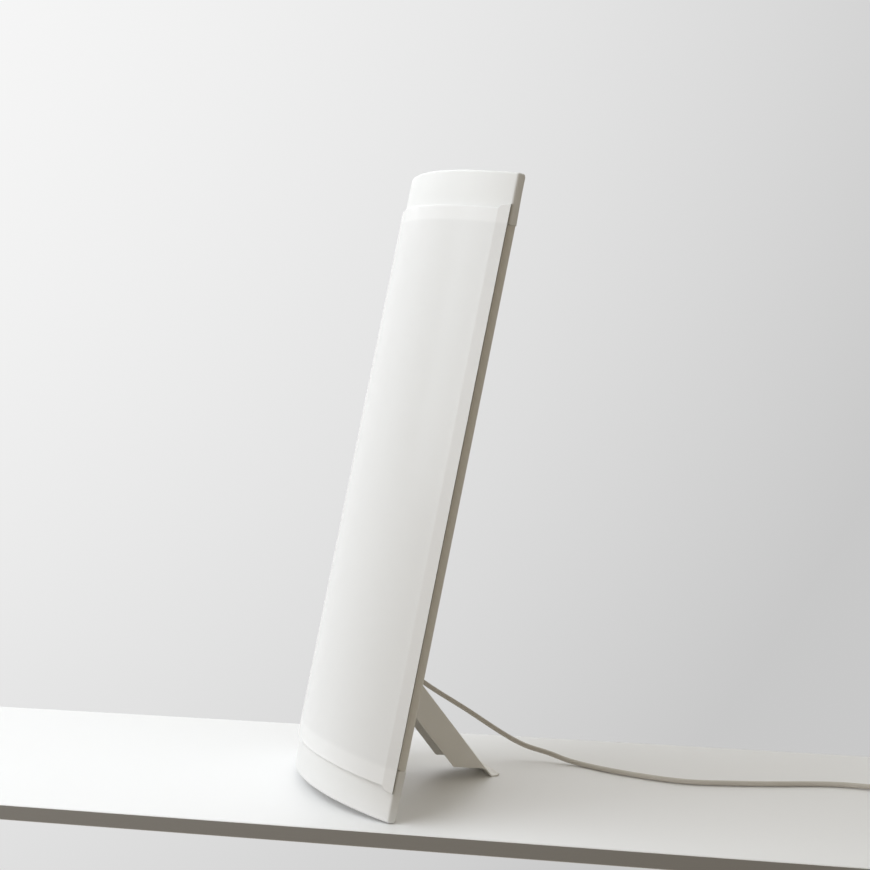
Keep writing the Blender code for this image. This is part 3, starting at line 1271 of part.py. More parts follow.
def build_plug(white, nickel):
    """Moulded plug with two pins, a hole for an earthed socket's pin and two side contacts."""
    place = plug_matrix()
    location = place.to_translation()
    turn = (0, 0, PLUG_HEADING)
    plug = add_node("plug_body", plug_body(), white, None, location, turn)
    bore = PLUG_PIN_DIAMETER / 2 + GAP
    seats = [along_plug([(bore, -PLUG_PIN_SEAT), (bore, OVERRUN)], side * PLUG_PIN_SPACING / 2, 0) for side in (-1, 1)]
    seats.append(along_plug([(EARTH_HOLE / 2, -EARTH_HOLE_DEPTH), (EARTH_HOLE / 2, OVERRUN)], 0, EARTH_HOLE_RISE))
    cut(plug, gathered(seats), "plug_holes")
    slot = EARTH_CLIP_WIDTH + 2 * GAP
    long = EARTH_CLIP_LENGTH + 2 * GAP
    slots = [block((long, slot, 2 * EARTH_CLIP_SHEET), (-PLUG_HEAD / 2, 0, side * PLUG_THICKNESS / 2)) for side in (-1, 1)]
    cut(plug, gathered(slots), "plug_clip_slots")
    radius = PLUG_PIN_DIAMETER / 2
    profile = [(radius, -PLUG_PIN_SEAT + GAP), (radius, PLUG_PIN_LENGTH - PLUG_PIN_TIP),
               (radius - PLUG_PIN_TIP / 2, PLUG_PIN_LENGTH)]
    for name, side in (("plug_pin_left", 1), ("plug_pin_right", -1)):
        add_node(name, along_plug(profile, side * PLUG_PIN_SPACING / 2, 0), nickel, None, location, turn)
    rest = PLUG_THICKNESS / 2 - EARTH_CLIP_SHEET + GAP
    for name, side in (("plug_earth_clip_top", 1), ("plug_earth_clip_bottom", -1)):
        clip = block((EARTH_CLIP_LENGTH, EARTH_CLIP_WIDTH, EARTH_CLIP_SHEET),
                     (-PLUG_HEAD / 2, 0, side * (rest + EARTH_CLIP_SHEET / 2)))
        add_node(name, clip, nickel, None, location, turn)


def body_matrix():
    """From the lamp's own axes, square to its back, to the part's frame."""
    front = -math.cos(LEAN) * (EDGE_DEPTH + BULGE - CAP_FILLET) + math.sin(LEAN) * CAP_FILLET - CAP_FILLET
    steep = STRUT_DIP + LEAN
    sole = [(math.cos(steep) * a + math.sin(steep) * b) for a, b in offset_path(strut_path(), STRUT_SHEET)]
    sole += [(math.cos(steep) * a + math.sin(steep) * b) for a, b in strut_path()]
    axis_y = PIVOT_DEPTH * math.cos(LEAN) + PIVOT_HEIGHT * math.sin(LEAN)
    rear = axis_y + max(sole)
    return Matrix.Translation((0, -(front + rear) / 2, FLOOR_LIFT)) @ Matrix.Rotation(-LEAN, 4, "X")


def add_body_frame():
    """Empty that carries everything built square to the lamp's back."""
    frame = bpy.data.objects.new("lamp_frame", None)
    bpy.context.collection.objects.link(frame)
    place = body_matrix()
    frame.location = place.to_translation()
    frame.rotation_euler = place.to_euler()
    print("lamp frame at", [round(value * 1000, 3) for value in frame.location])
    return frame


def make_finishes():
    """Colours and surfaces of every sub-part."""
    return {
        "white metal": finish("white powder coat", (0.80, 0.79, 0.76), 0.45),
        "white cap": finish("white moulded plastic", (0.84, 0.84, 0.82), 0.38),
        "opal": finish("opal acrylic", (0.88, 0.88, 0.87), 0.22),
        "clear plastic": finish("clear plastic", (0.80, 0.82, 0.84), 0.20),
        "bright": finish("bright aluminium sheet", (0.86, 0.87, 0.88), 0.15, 1.0),
        "glass": finish("phosphor coated glass", (0.92, 0.92, 0.90), 0.25),
        "white plastic": finish("lampholder plastic", (0.82, 0.81, 0.78), 0.45),
        "steel": finish("zinc plated steel", (0.62, 0.62, 0.61), 0.35, 1.0),
        "black": finish("black switch plastic", (0.03, 0.03, 0.03), 0.40),
        "terminal": finish("terminal plastic", (0.75, 0.74, 0.70), 0.50),
        "wire": finish("wire insulation", (0.70, 0.70, 0.72), 0.45),
        "cord": finish("white cord sheath", (0.78, 0.76, 0.72), 0.50),
        "tie": finish("black tie", (0.05, 0.05, 0.05), 0.60),
        "nickel": finish("nickel plated brass", (0.72, 0.70, 0.66), 0.25, 1.0),
    }


def main():
    clear_scene()
    finishes = make_finishes()
    body = add_body_frame()
    build_caps(body, finishes["white cap"])
    build_cap_screws(body, finishes["steel"])
    build_pan(body, finishes["white metal"])
    build_cover(body, finishes["opal"])
    build_rails(body, finishes["clear plastic"])
    build_reflector(body, finishes["bright"], finishes["steel"])
    for name, side in (("left_lamp", -1), ("right_lamp", 1)):
        build_lamp(name, side * LAMP_SPREAD / 2, body, finishes)
    build_ballast(body, finishes["white plastic"], finishes["steel"])
    build_terminal_block(body, finishes["terminal"])
    build_mains_cores(finishes["wire"], body)
    build_switch_wires(finishes["wire"], body)
    build_lamp_leads(finishes["wire"], body)
    build_strut(body, finishes["white metal"], finishes["steel"])
    build_bracket(body, finishes["white metal"], finishes["steel"])
    build_switch(body, finishes["black"], finishes["steel"])
    build_cord_exit(body, finishes["cord"])
    build_cord(body, finishes["cord"], finishes["tie"])
    build_plug(finishes["cord"], finishes["nickel"])


main()
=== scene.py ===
"""Light therapy lamp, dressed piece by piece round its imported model."""
import math

import bmesh
import bpy
import numpy as np
from mathutils import Matrix, Vector


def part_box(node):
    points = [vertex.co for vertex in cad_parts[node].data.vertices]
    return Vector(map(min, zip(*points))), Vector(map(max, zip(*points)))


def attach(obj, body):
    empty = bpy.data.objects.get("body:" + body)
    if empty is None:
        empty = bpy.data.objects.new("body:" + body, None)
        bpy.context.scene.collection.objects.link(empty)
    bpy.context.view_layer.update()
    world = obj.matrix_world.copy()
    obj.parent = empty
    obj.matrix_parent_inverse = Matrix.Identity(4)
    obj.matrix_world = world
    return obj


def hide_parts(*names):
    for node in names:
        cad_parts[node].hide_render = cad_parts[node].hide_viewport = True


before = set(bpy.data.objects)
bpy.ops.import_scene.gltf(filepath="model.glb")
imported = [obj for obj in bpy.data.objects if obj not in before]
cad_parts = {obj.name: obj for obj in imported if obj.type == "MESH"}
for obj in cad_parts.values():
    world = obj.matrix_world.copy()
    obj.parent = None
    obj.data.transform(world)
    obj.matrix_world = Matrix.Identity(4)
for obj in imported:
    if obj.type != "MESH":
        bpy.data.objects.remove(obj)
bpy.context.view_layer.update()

# Camera: a longer lens at table height, well round to the lamp's right, as a product is
# photographed from the side.
camera_place = Vector((1.6436, -0.5861, 0.5120))
camera_right = Vector((0.3583, 0.9336, -0.0070)).normalized()
camera_back = Vector((0.9307, -0.3566, 0.0811)).normalized()
camera_up = camera_back.cross(camera_right).normalized()
camera_turn = Matrix((camera_up.cross(camera_back), camera_up, camera_back)).transposed().to_4x4()
camera_data = bpy.data.cameras.new("product_camera")
camera_data.sensor_fit = "HORIZONTAL"
camera_data.sensor_width = 36.0
camera_data.lens = 68.82
camera_data.clip_start = 0.05
camera_data.clip_end = 60.0
camera = bpy.data.objects.new("product_camera", camera_data)
camera.matrix_world = Matrix.Translation(camera_place) @ camera_turn
bpy.context.scene.collection.objects.link(camera)
bpy.context.scene.camera = camera

# Rear pan: a shallow tray folded from 0.8 mm steel sheet with a satin white powder coat.
# It is the lamp's back and its narrow sides, and everything else is fixed to it.
class Finish:
    """A surface finish being put together: patterns fixed to the piece, and what they drive."""

    def __init__(self, name, ior=1.5, metallic=0.0):
        self.material = bpy.data.materials.new(name)
        self.material.use_nodes = True
        self.nodes, self.links = self.material.node_tree.nodes, self.material.node_tree.links
        self.shader = self.nodes["Principled BSDF"]
        self.shader.inputs["IOR"].default_value = ior
        self.shader.inputs["Metallic"].default_value = metallic
        self.place = self.nodes.new("ShaderNodeTexCoord").outputs["Object"]

    def node(self, kind, **inputs):
        """New node with some of its inputs set by name."""
        made = self.nodes.new("ShaderNode" + kind)
        for socket, value in inputs.items():
            made.inputs[socket.replace("_", " ")].default_value = value
        return made

    def mottle(self, scale, detail, place=None):
        """Cloudy pattern."""
        cloud = self.node("TexNoise", Scale=scale, Detail=detail)
        self.links.new(place or self.place, cloud.inputs["Vector"])
        return cloud.outputs["Fac"]

    def tint(self, pattern, dark, light, edges=(0.0, 1.0)):
        """Colour that wanders between two tones with a pattern."""
        ramp = self.nodes.new("ShaderNodeValToRGB")
        for element, edge, tone in zip(ramp.color_ramp.elements, edges, (dark, light)):
            element.position = edge
            element.color = (*tone, 1)
        self.links.new(pattern, ramp.inputs["Fac"])
        self.links.new(ramp.outputs["Color"], self.shader.inputs["Base Color"])

    def gloss(self, pattern, middle, below, above, edges=(0.0, 1.0)):
        """Roughness that strays below and above its middle value with a pattern."""
        rough = self.node("MapRange", From_Min=edges[0], From_Max=edges[1],
                          To_Min=middle - below, To_Max=middle + above)
        self.links.new(pattern, rough.inputs["Value"])
        self.links.new(rough.outputs["Result"], self.shader.inputs["Roughness"])

    def relief(self, pattern, strength, depth):
        """Fine bumps from a pattern."""
        bump = self.node("Bump", Strength=strength, Distance=depth)
        self.links.new(pattern, bump.inputs["Height"])
        self.links.new(bump.outputs["Normal"], self.shader.inputs["Normal"])


def toned(colour, share):
    """The colour made darker or lighter by a share."""
    return [min(1.0, value * share) for value in colour]


def powder_coat(name, colour, roughness):
    """Satin powder coat: a fine orange-peel surface with faint clouding and a few rubbed spots."""
    finish = Finish(name, ior=1.48)
    cloud = finish.mottle(14.0, 4.0)
    finish.tint(cloud, toned(colour, 0.975), colour, (0.30, 0.70))
    finish.gloss(cloud, roughness, 0.05, 0.05, (0.3, 0.7))
    finish.relief(finish.mottle(900.0, 2.0), 0.12, 0.0001)
    return finish.material


def dress(node, material):
    """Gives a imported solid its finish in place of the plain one."""
    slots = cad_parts[node].data.materials
    slots.clear()
    slots.append(material)


coat = powder_coat("white_powder_coat", (0.835, 0.82, 0.785), 0.42)
dress("rear_pan", coat)
dress("strut_bracket", coat)

# Reflector, rivets and lamps: a bright rolled aluminium sheet behind two twin-tube
# fluorescent lamps in moulded holders, all behind the opal cover.
def rolled_aluminium(name):
    """Bright sheet with fine rolling lines along the lamp's height."""
    finish = Finish(name, metallic=1.0)
    stretch = finish.node("Mapping", Scale=(1800.0, 1800.0, 30.0))
    finish.links.new(finish.place, stretch.inputs["Vector"])
    lines = finish.mottle(1.0, 3.0, stretch.outputs["Vector"])
    finish.tint(lines, (0.80, 0.81, 0.82), (0.90, 0.91, 0.92))
    finish.gloss(lines, 0.23, 0.07, 0.07)
    return finish.material


def moulded(name, colour, roughness, grain, depth):
    """Moulded plastic: an eroded tool's fine grain, slight clouding, and gloss that varies with it."""
    finish = Finish(name, ior=1.50)
    finish.tint(finish.mottle(22.0, 3.0), toned(colour, 0.96), toned(colour, 1.02))
    erosion = finish.mottle(grain, 3.0)
    finish.gloss(erosion, roughness, 0.06, 0.06, (0.25, 0.75))
    finish.relief(erosion, depth, 0.0001)
    return finish.material


def plated_steel(name, colour, roughness):
    """Bright zinc or nickel plate with a faint passivated clouding."""
    finish = Finish(name, metallic=1.0)
    cloud = finish.mottle(350.0, 5.0)
    finish.tint(cloud, toned(colour, 0.85), colour)
    finish.gloss(cloud, roughness, 0.08, 0.10)
    return finish.material


holder_plastic = moulded("lampholder_plastic", (0.80, 0.79, 0.76), 0.45, 1500.0, 0.15)
phosphor = moulded("phosphor_coated_glass", (0.90, 0.90, 0.885), 0.22, 3000.0, 0.03)
zinc = plated_steel("zinc_plate", (0.66, 0.66, 0.65), 0.32)
dress("reflector", rolled_aluminium("rolled_aluminium"))
for number in range(1, 5):
    dress("reflector_rivet_%d" % number, zinc)
for side in ("left", "right"):
    dress(side + "_lamp_tube", phosphor)
    for part in ("base", "holder", "clip"):
        dress("%s_lamp_%s" % (side, part), holder_plastic)

# Ballast, terminal block and wires: a slim white ballast under the reflector's ridge,
# and silicone-covered wires from the cord's bush to the switch and the lampholders.
live_brown, neutral_blue, earth_green, lead_white = (
    (0.16, 0.07, 0.03), (0.03, 0.12, 0.42), (0.22, 0.42, 0.05), (0.70, 0.70, 0.68))
core_colours = {
    "core_live": live_brown, "core_neutral": neutral_blue, "core_earth": earth_green,
    "switch_feed_wire": live_brown, "switch_load_wire": live_brown, "neutral_wire": neutral_blue,
    "lamp_lead_left": lead_white, "lamp_lead_right": lead_white,
}
dress("ballast", moulded("ballast_case", (0.78, 0.78, 0.77), 0.40, 1200.0, 0.12))
dress("terminal_block", moulded("terminal_plastic", (0.72, 0.71, 0.66), 0.50, 1400.0, 0.15))
for node, colour in core_colours.items():
    dress(node, moulded(node + "_insulation", colour, 0.42, 1800.0, 0.08))

# End caps: two moulded white cups that sleeve over the pan's ends. Their front follows the
# cover's curve. Like every piece of the lamp, they are built square to the back, then leant.
lamp_width, lamp_height, edge_depth, bulge = 0.280, 0.650, 0.0092, 0.044
lean = math.radians(12.65)
lamp_place = Matrix.Translation((0, -0.053758, -0.000421)) @ Matrix.Rotation(-lean, 4, "X")
pan_sheet, seat_gap, overrun = 0.0008, 0.0003, 0.0020
cap_depth, cap_wall, cap_lip, cap_fillet = 0.052, 0.0022, 0.0012, 0.0025
cap_corner, cap_inner_corner, rear_corner_share, mouth_ease = 0.0032, 0.0008, 0.25, 0.0003
end_draft, mouth_draft = 0.0014, 0.0001
post_side, post_inset, post_level = 0.006, 0.050, 0.026
half_width, front_depth = lamp_width / 2, edge_depth + bulge
front_radius = (half_width ** 2 + bulge ** 2) / (2 * bulge)
front_centre = front_radius - front_depth
front_steps, corner_steps, fillet_steps = 96, 6, 8
cap_plastic = moulded("white_cap_plastic", (0.815, 0.815, 0.805), 0.52, 1700.0, 0.10)


def corner_arc(points, index, radius, steps):
    """Arc that rounds an outline's corner: its centre, and arms from there to points along it."""
    corner = Vector(points[index])
    before = (Vector(points[index - 1]) - corner).normalized()
    after = (Vector(points[(index + 1) % len(points)]) - corner).normalized()
    half = before.angle(after) / 2
    centre = corner + (before + after).normalized() * radius / math.sin(half)
    start = corner + before * radius / math.tan(half) - centre
    sweep = start.angle_signed(corner + after * radius / math.tan(half) - centre)
    return centre, [Matrix.Rotation(-sweep * step / steps, 2) @ start for step in range(steps + 1)]


def rounded_outline(points, radii, steps):
    """Closed outline with an arc at each corner whose radius isn't zero."""
    result = []
    for index, point in enumerate(points):
        if radii[index] > 0:
            centre, arms = corner_arc(points, index, radii[index], steps)
            result += [tuple(centre + arm) for arm in arms]
        else:
            result.append(tuple(point))
    return result


def cap_section(side_inset, front_inset, rear, corner):
    """The cap's section: its front arc, flat sides and the plane of its rear edges."""
    half = half_width - side_inset
    radius = front_radius - front_inset
    edge = math.asin(half / radius)
    points = []
    for step in range(front_steps + 1):
        angle = edge * (2 * step / front_steps - 1)
        points.append((radius * math.sin(angle), front_centre - radius * math.cos(angle)))
    points += [(half, rear), (-half, rear)]
    radii = [corner] + [0] * (front_steps - 1) + [corner] + [corner * rear_corner_share] * 2
    return rounded_outline(points, radii, corner_steps)


def skin(bm, rows, closed=True):
    """Faces between neighbouring rows of points, each row running on to its start if it is closed."""
    for low, high in zip(rows, rows[1:]):
        for index in range(len(low) if closed else len(low) - 1):
            after = (index + 1) % len(low)
            bm.faces.new((low[index], low[after], high[after], high[index]))


def rings_to_body(rings):
    """Closed body through rings of equally many points, with a flat face at each end."""
    bm = bmesh.new()
    loops = [[bm.verts.new(point) for point in ring] for ring in rings]
    skin(bm, loops)
    bm.faces.new(reversed(loops[0]))
    bm.faces.new(loops[-1])
    return bm


def carved(name, bm, tool_bm, operation):
    """Closed body with another one cut out of it or joined to it."""
    pair = []
    for part in (bm, tool_bm):
        bmesh.ops.recalc_face_normals(part, faces=part.faces)
        mesh = bpy.data.meshes.new(name)
        part.to_mesh(mesh)
        part.free()
        pair.append(bpy.data.objects.new(name, mesh))
        bpy.context.scene.collection.objects.link(pair[-1])
    whole, tool = pair
    change = whole.modifiers.new("change", "BOOLEAN")
    change.operation = operation
    change.object = tool
    bpy.context.view_layer.update()
    mesh = bpy.data.meshes.new_from_object(whole.evaluated_get(bpy.context.evaluated_depsgraph_get()))
    result = bmesh.new()
    result.from_mesh(mesh)
    bpy.data.meshes.remove(mesh)
    for obj in pair:
        mesh = obj.data
        bpy.data.objects.remove(obj)
        bpy.data.meshes.remove(mesh)
    return result


def cap_end():
    """Solid end with a filleted face at height zero, its back drafted in towards that face."""
    rings = []
    for step in range(fillet_steps + 1):
        angle = math.pi / 2 * step / fillet_steps
        inset = cap_fillet * (1 - math.sin(angle))
        level = cap_fillet * (1 - math.cos(angle))
        outline = cap_section(inset, inset, -end_draft - inset, cap_corner - inset)
        rings.append([(x, y, level) for x, y in outline])
    for level, inset, rear in ((cap_depth - mouth_ease, 0, -mouth_draft),
                               (cap_depth, mouth_ease, -mouth_ease)):
        rings.append([(x, y, level) for x, y in cap_section(inset, inset, rear, cap_corner - inset)])
    return rings_to_body(rings)


def cap_inside():
    """Room inside the cap, open at the mouth and at the back, where the pan closes it."""
    outline = cap_section(cap_lip, cap_wall, overrun, cap_inner_corner)
    return rings_to_body([[(x, y, level) for x, y in outline] for level in (cap_wall, cap_depth + overrun)])


def cap_cup():
    """The cup with two square posts for the screws, from its front wall back to the pan."""
    bm = carved("cap", cap_end(), cap_inside(), "DIFFERENCE")
    across = half_width - post_inset
    front = front_centre - math.sqrt((front_radius - cap_wall / 2) ** 2 - (across + post_side / 2) ** 2)
    back = -pan_sheet - seat_gap
    for side in (-1, 1):
        place = Matrix.Translation((side * across, (front + back) / 2, post_level))
        size = Matrix.Diagonal((post_side, back - front, post_side, 1))
        bmesh.ops.create_cube(bm, size=1.0, matrix=place @ size)
    return bm


def mesh_of(name, bm, sharp, closed=True):
    """Smooth-shaded mesh from a body, crisp where its faces meet at a sharp angle."""
    if closed:
        bmesh.ops.recalc_face_normals(bm, faces=bm.faces)
    mesh = bpy.data.meshes.new(name)
    bm.to_mesh(mesh)
    bm.free()
    mesh.shade_smooth()
    mesh.set_sharp_from_angle(angle=math.radians(sharp))
    return mesh


def add_piece(name, mesh_or_curve, material, place, body, slot, *nodes):
    """A finished piece on its body, standing for the plain solids that it replaces."""
    mesh_or_curve.transform(place)
    mesh_or_curve.materials.append(material)
    piece = bpy.data.objects.new(name, mesh_or_curve)
    bpy.context.scene.collection.objects.link(piece)
    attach(piece, body)
    if nodes:
        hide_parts(*nodes)
    return piece


for node in ("bottom_cap", "top_cap"):
    cup = cap_cup()
    if node == "top_cap":
        bmesh.ops.scale(cup, vec=(1, 1, -1), verts=cup.verts)
        bmesh.ops.translate(cup, vec=(0, 0, lamp_height), verts=cup.verts)
    add_piece(node + "_moulding", mesh_of(node + "_moulding", cup, 30), cap_plastic,
              lamp_place, "lamp", "white_cap", node)

# Opal cover: one sheet of 2 mm opal acrylic formed to the caps' curve, with a flat flange
# folded down each side and a small ear at each corner. Two clear plastic rails inside it
# hook behind the pan's lips.
cover_gauge, cover_gap, sheet_ease = 0.0020, 0.0004, 0.0003
cover_low, cover_high = 0.0345, lamp_height - 0.0375
flange_width, flange_angle = 0.0126, math.radians(42.0)
ear_reach, ear_step_run, ear_step_rise = 0.0055, 0.0025, 0.0035
crease_half = half_width - flange_width * math.cos(flange_angle)
cover_rise = bulge - flange_width * math.sin(flange_angle)
cover_radius = (crease_half ** 2 + cover_rise ** 2) / (2 * cover_rise)
crease_angle, cover_steps = math.asin(crease_half / cover_radius), 64
# The sheet's own milky tone, a lighter tone of painted light for where the white caps lie behind it, and a
# dark grey of painted shade for its cut side edges.
milky, painted_light_over_cap, painted_shade_grey = (0.81, 0.81, 0.805, 1), (0.865, 0.865, 0.86, 1), (0.33, 0.33, 0.32, 1)
# Heights of the caps' mouths, where the painted light over the caps starts and stops, and the depths across
# the cut side edges that get the painted shade.
painted_light_levels, painted_shade_depths = (0.0505, 0.0545, 0.5965, 0.5985), (-0.01100, -0.01085)


def opal_acrylic(name):
    """Opal sheet: milky and polished, painted lighter where the caps lie behind it and painted with dark
    shade along its cut side edges.
    """
    finish = Finish(name, ior=1.49)
    links, shader = finish.links, finish.shader
    shader.inputs["Subsurface Weight"].default_value = 0.15
    shader.inputs["Subsurface Radius"].default_value = (0.004, 0.004, 0.004)
    shader.inputs["Subsurface Scale"].default_value = 1.0
    upright = finish.node("Mapping", Rotation=(lean, 0, 0), Location=lamp_place.inverted().translation)
    links.new(finish.place, upright.inputs["Vector"])
    split = finish.node("SeparateXYZ")
    links.new(upright.outputs["Vector"], split.inputs["Vector"])
    height = finish.node("Math")
    height.operation = "DIVIDE"
    height.inputs[1].default_value = lamp_height
    links.new(split.outputs["Z"], height.inputs[0])
    # Painted light: the sheet is coloured lighter over the caps' ends, standing in for the light the white
    # caps send back through it.
    painted_light_ramp = finish.node("ValToRGB")
    for element in painted_light_ramp.color_ramp.elements:
        element.color = painted_light_over_cap
    for level, tone in zip(painted_light_levels, (painted_light_over_cap, milky, milky, painted_light_over_cap)):
        painted_light_ramp.color_ramp.elements.new(level / lamp_height).color = tone
    links.new(height.outputs["Value"], painted_light_ramp.inputs["Fac"])
    # Painted shade: a dark grey band across the sheet's cut side edges, standing in for the shade along them.
    painted_shade_mask = finish.node("MapRange", From_Min=painted_shade_depths[0], From_Max=painted_shade_depths[1])
    links.new(split.outputs["Y"], painted_shade_mask.inputs["Value"])
    painted_shade_mix = finish.node("Mix")
    painted_shade_mix.data_type = "RGBA"
    whole_tone, painted_shade_input, painted_shade_output = painted_shade_mix.inputs[6], painted_shade_mix.inputs[7], painted_shade_mix.outputs[2]
    painted_shade_input.default_value = painted_shade_grey
    links.new(painted_light_ramp.outputs["Color"], whole_tone)
    links.new(painted_shade_mask.outputs["Result"], painted_shade_mix.inputs["Factor"])
    links.new(painted_shade_output, shader.inputs["Base Color"])
    finish.gloss(finish.mottle(600.0, 2.0), 0.195, 0.025, 0.025, (0.3, 0.7))
    finish.relief(finish.mottle(9.0, 1.0), 0.25, 0.0004)
    return finish.material


def cover_stations():
    """Across the cover: seat points on the curve, outward normals, and how far the ears run on."""
    edge = Vector((half_width, -edge_depth))
    inward = Vector((-math.cos(flange_angle), -math.sin(flange_angle)))
    outward = Vector((math.sin(flange_angle), -math.cos(flange_angle)))
    ear_end = flange_width - ear_step_run
    right = []
    for along in (0.0, 0.0002, 0.0006, 0.004, ear_end):
        reach = ear_reach - (ear_reach - ear_step_rise) * along / ear_end
        right.append((edge + inward * along, outward, reach))
    for along in (flange_width - 0.0015, flange_width - 0.0006):
        right.append((edge + inward * along, outward, ear_step_rise * (flange_width - along) / ear_step_run))
    for step in range(cover_steps + 1):
        angle = crease_angle * (1 - step / cover_steps)
        height = cover_radius - front_depth - cover_radius * math.cos(angle)
        bend = (angle + flange_angle) / 2 if step == 0 else angle
        seat = Vector((cover_radius * math.sin(angle), height))
        right.append((seat, Vector((math.sin(bend), -math.cos(bend))), 0.0))
    left = [(Vector((-seat.x, seat.y)), Vector((-out.x, out.y)), reach)
            for seat, out, reach in reversed(right[:-1])]
    return right + left


def cover_sheet():
    """The sheet with its cut edges eased all round."""
    stations = cover_stations()
    rings = []
    for index, (seat, out, reach) in enumerate(stations):
        thin = sheet_ease if index in (0, len(stations) - 1) else 0.0
        low, high = cover_low - reach, cover_high + reach
        under, over = seat + out * (cover_gap + thin), seat + out * (cover_gap + cover_gauge - thin)
        near_under = seat + out * (cover_gap + sheet_ease)
        near_over = seat + out * (cover_gap + cover_gauge - sheet_ease)
        rings.append([
            (*under, low + sheet_ease), (*near_under, low), (*near_over, low), (*over, low + sheet_ease),
            (*over, high - sheet_ease), (*near_over, high), (*near_under, high), (*under, high - sheet_ease),
        ])
    return rings_to_body(rings)


add_piece("opal_cover_sheet", mesh_of("opal_cover_sheet", cover_sheet(), 8),
          opal_acrylic("opal_acrylic_sheet"), lamp_place, "lamp", "opal_acrylic", "diffuser")
clear = moulded("clear_rail_plastic", (0.78, 0.80, 0.82), 0.20, 900.0, 0.05)
dress("cover_rail_left", clear)
dress("cover_rail_right", clear)

# Screws: zinc-plated pan heads with a cross recess. They hold the caps, the ballast and
# the strut's bracket to the pan.
shank_radius, shank_length = 0.0015, 0.0040
head_radius, head_rim, head_crown = 0.0031, 0.0008, 0.0012
recess_radius, recess_depth, recess_middle = 0.0017, 0.0009, 0.0010
bracket_sheet, head_steps, crown_steps = 0.0015, 48, 8


def pan_head():
    """Low domed head with a cross-shaped recess in its crown."""
    bm = bmesh.new()
    profile = [(shank_radius, -shank_length), (shank_radius, 0.0),
               (head_radius, 0.0), (head_radius, head_rim)]
    for step in range(1, crown_steps):
        angle = math.pi / 2 * step / crown_steps
        profile.append((head_radius * math.cos(angle) ** 0.8, head_rim + head_crown * math.sin(angle)))
    rings = []
    for radius, level in profile:
        ring = []
        for step in range(head_steps):
            angle = 2 * math.pi * step / head_steps
            arm = abs(math.cos(2 * angle)) ** 6
            sunk = recess_depth * arm if radius < recess_radius and level > 0.0 else 0.0
            ring.append(bm.verts.new((radius * math.cos(angle), radius * math.sin(angle), level - sunk)))
        rings.append(ring)
    skin(bm, rings)
    bm.faces.new(reversed(rings[0]))
    middle = bm.verts.new((0, 0, recess_middle))
    for index in range(head_steps):
        bm.faces.new((rings[-1][index], rings[-1][(index + 1) % head_steps], middle))
    return bm


screw_seats = (("cap_screw", 4, seat_gap), ("ballast_screw", 2, seat_gap),
               ("bracket_screw", 4, bracket_sheet + 2 * seat_gap))
for name, count, seat in screw_seats:
    for number in range(1, count + 1):
        node = "%s_%d" % (name, number)
        low, high = (Vector(corner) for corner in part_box(node))
        middle = lamp_place.inverted() @ ((low + high) / 2)
        stand = Matrix.Translation((middle.x, seat, middle.z)) @ Matrix.Rotation(-math.pi / 2, 4, "X")
        driven = stand @ Matrix.Rotation(0.4 * number, 4, "Z")
        add_piece(node + "_head", mesh_of(node + "_head", pan_head(), 40), zinc,
                  lamp_place @ driven, "lamp", "plated_steel", node)

# Folding strut: a channel pressed from 1.2 mm steel sheet and powder coated with the pan.
# Its web runs on to the table and ends in a foot turned flat and curled up at the lip.
pivot_height, pivot_depth, strut_dip = 0.1275, 0.0073, math.radians(41.0)
strut_gauge, strut_ease, strut_half = 0.0012, 0.00025, 0.0270
strut_outer, strut_edge, bend_radius = 0.0205, 0.0065, 0.0022
flange_cut_front, flange_cut_web, web_run_on = 0.039, 0.012, 0.0015
foot_flat, foot_curl, foot_curl_angle = 0.0075, 0.0030, math.radians(38.0)
heel_bend, curl_bend = 0.0040, 0.0025
strut_rows, flange_steps, bend_steps, web_steps = 40, 12, 8, 4
pivot_place = lamp_place @ Matrix.Translation((0, pivot_depth, pivot_height))
steep = strut_dip + lean


def reach_to_table(outset):
    """How far down the strut a line parallel to its web meets the table."""
    return (pivot_place.translation.z + outset * math.cos(steep)) / math.sin(steep)


def strut_top(across):
    """Where the flange starts at a distance out from the pin: parallel to the pan, then round the pin."""
    if across < -strut_edge * math.sin(strut_dip):
        return -math.sqrt(max(0.0, strut_edge ** 2 - across ** 2))
    return (-strut_edge - across * math.sin(strut_dip)) / math.cos(strut_dip)


def strut_bottom(across):
    """Where the flange ends: a slanting cut, nearly level as the lamp stands."""
    share = (across + strut_edge) / (strut_outer + strut_edge)
    return reach_to_table(strut_outer) - flange_cut_front + (flange_cut_front - flange_cut_web) * share


def strut_columns():
    """Points across the folded sheet's outer face, from one flange's edge to the other's."""
    flange = strut_outer - bend_radius + strut_edge
    half = [(strut_half, -strut_edge + flange * step / flange_steps) for step in range(flange_steps + 1)]
    for step in range(1, bend_steps + 1):
        angle = math.pi / 2 * step / bend_steps
        half.append((strut_half - bend_radius * (1 - math.cos(angle)),
                     strut_outer - bend_radius * (1 - math.sin(angle))))
    for step in range(1, web_steps + 1):
        half.append(((strut_half - bend_radius) * (1 - step / web_steps), strut_outer))
    return half + [(-x, out) for x, out in reversed(half[:-1])]


def foot_path():
    """Outer face of the foot, from the web's end: heel bend, flat on the table, curled lip."""
    inner = strut_outer - strut_gauge
    heel = Vector((reach_to_table(inner), inner))
    toe = heel + Vector((math.cos(steep), math.sin(steep))) * foot_flat
    curled = steep + foot_curl_angle
    tip = toe + Vector((math.cos(curled), math.sin(curled))) * foot_curl
    outer = []
    for index, radius in ((1, heel_bend), (2, curl_bend)):
        centre, arms = corner_arc([(0.0, inner), heel, toe, tip], index, radius, bend_steps)
        outer += [centre + arm - arm.normalized() * strut_gauge for arm in arms]
    return outer + [tip - arms[-1].normalized() * strut_gauge]


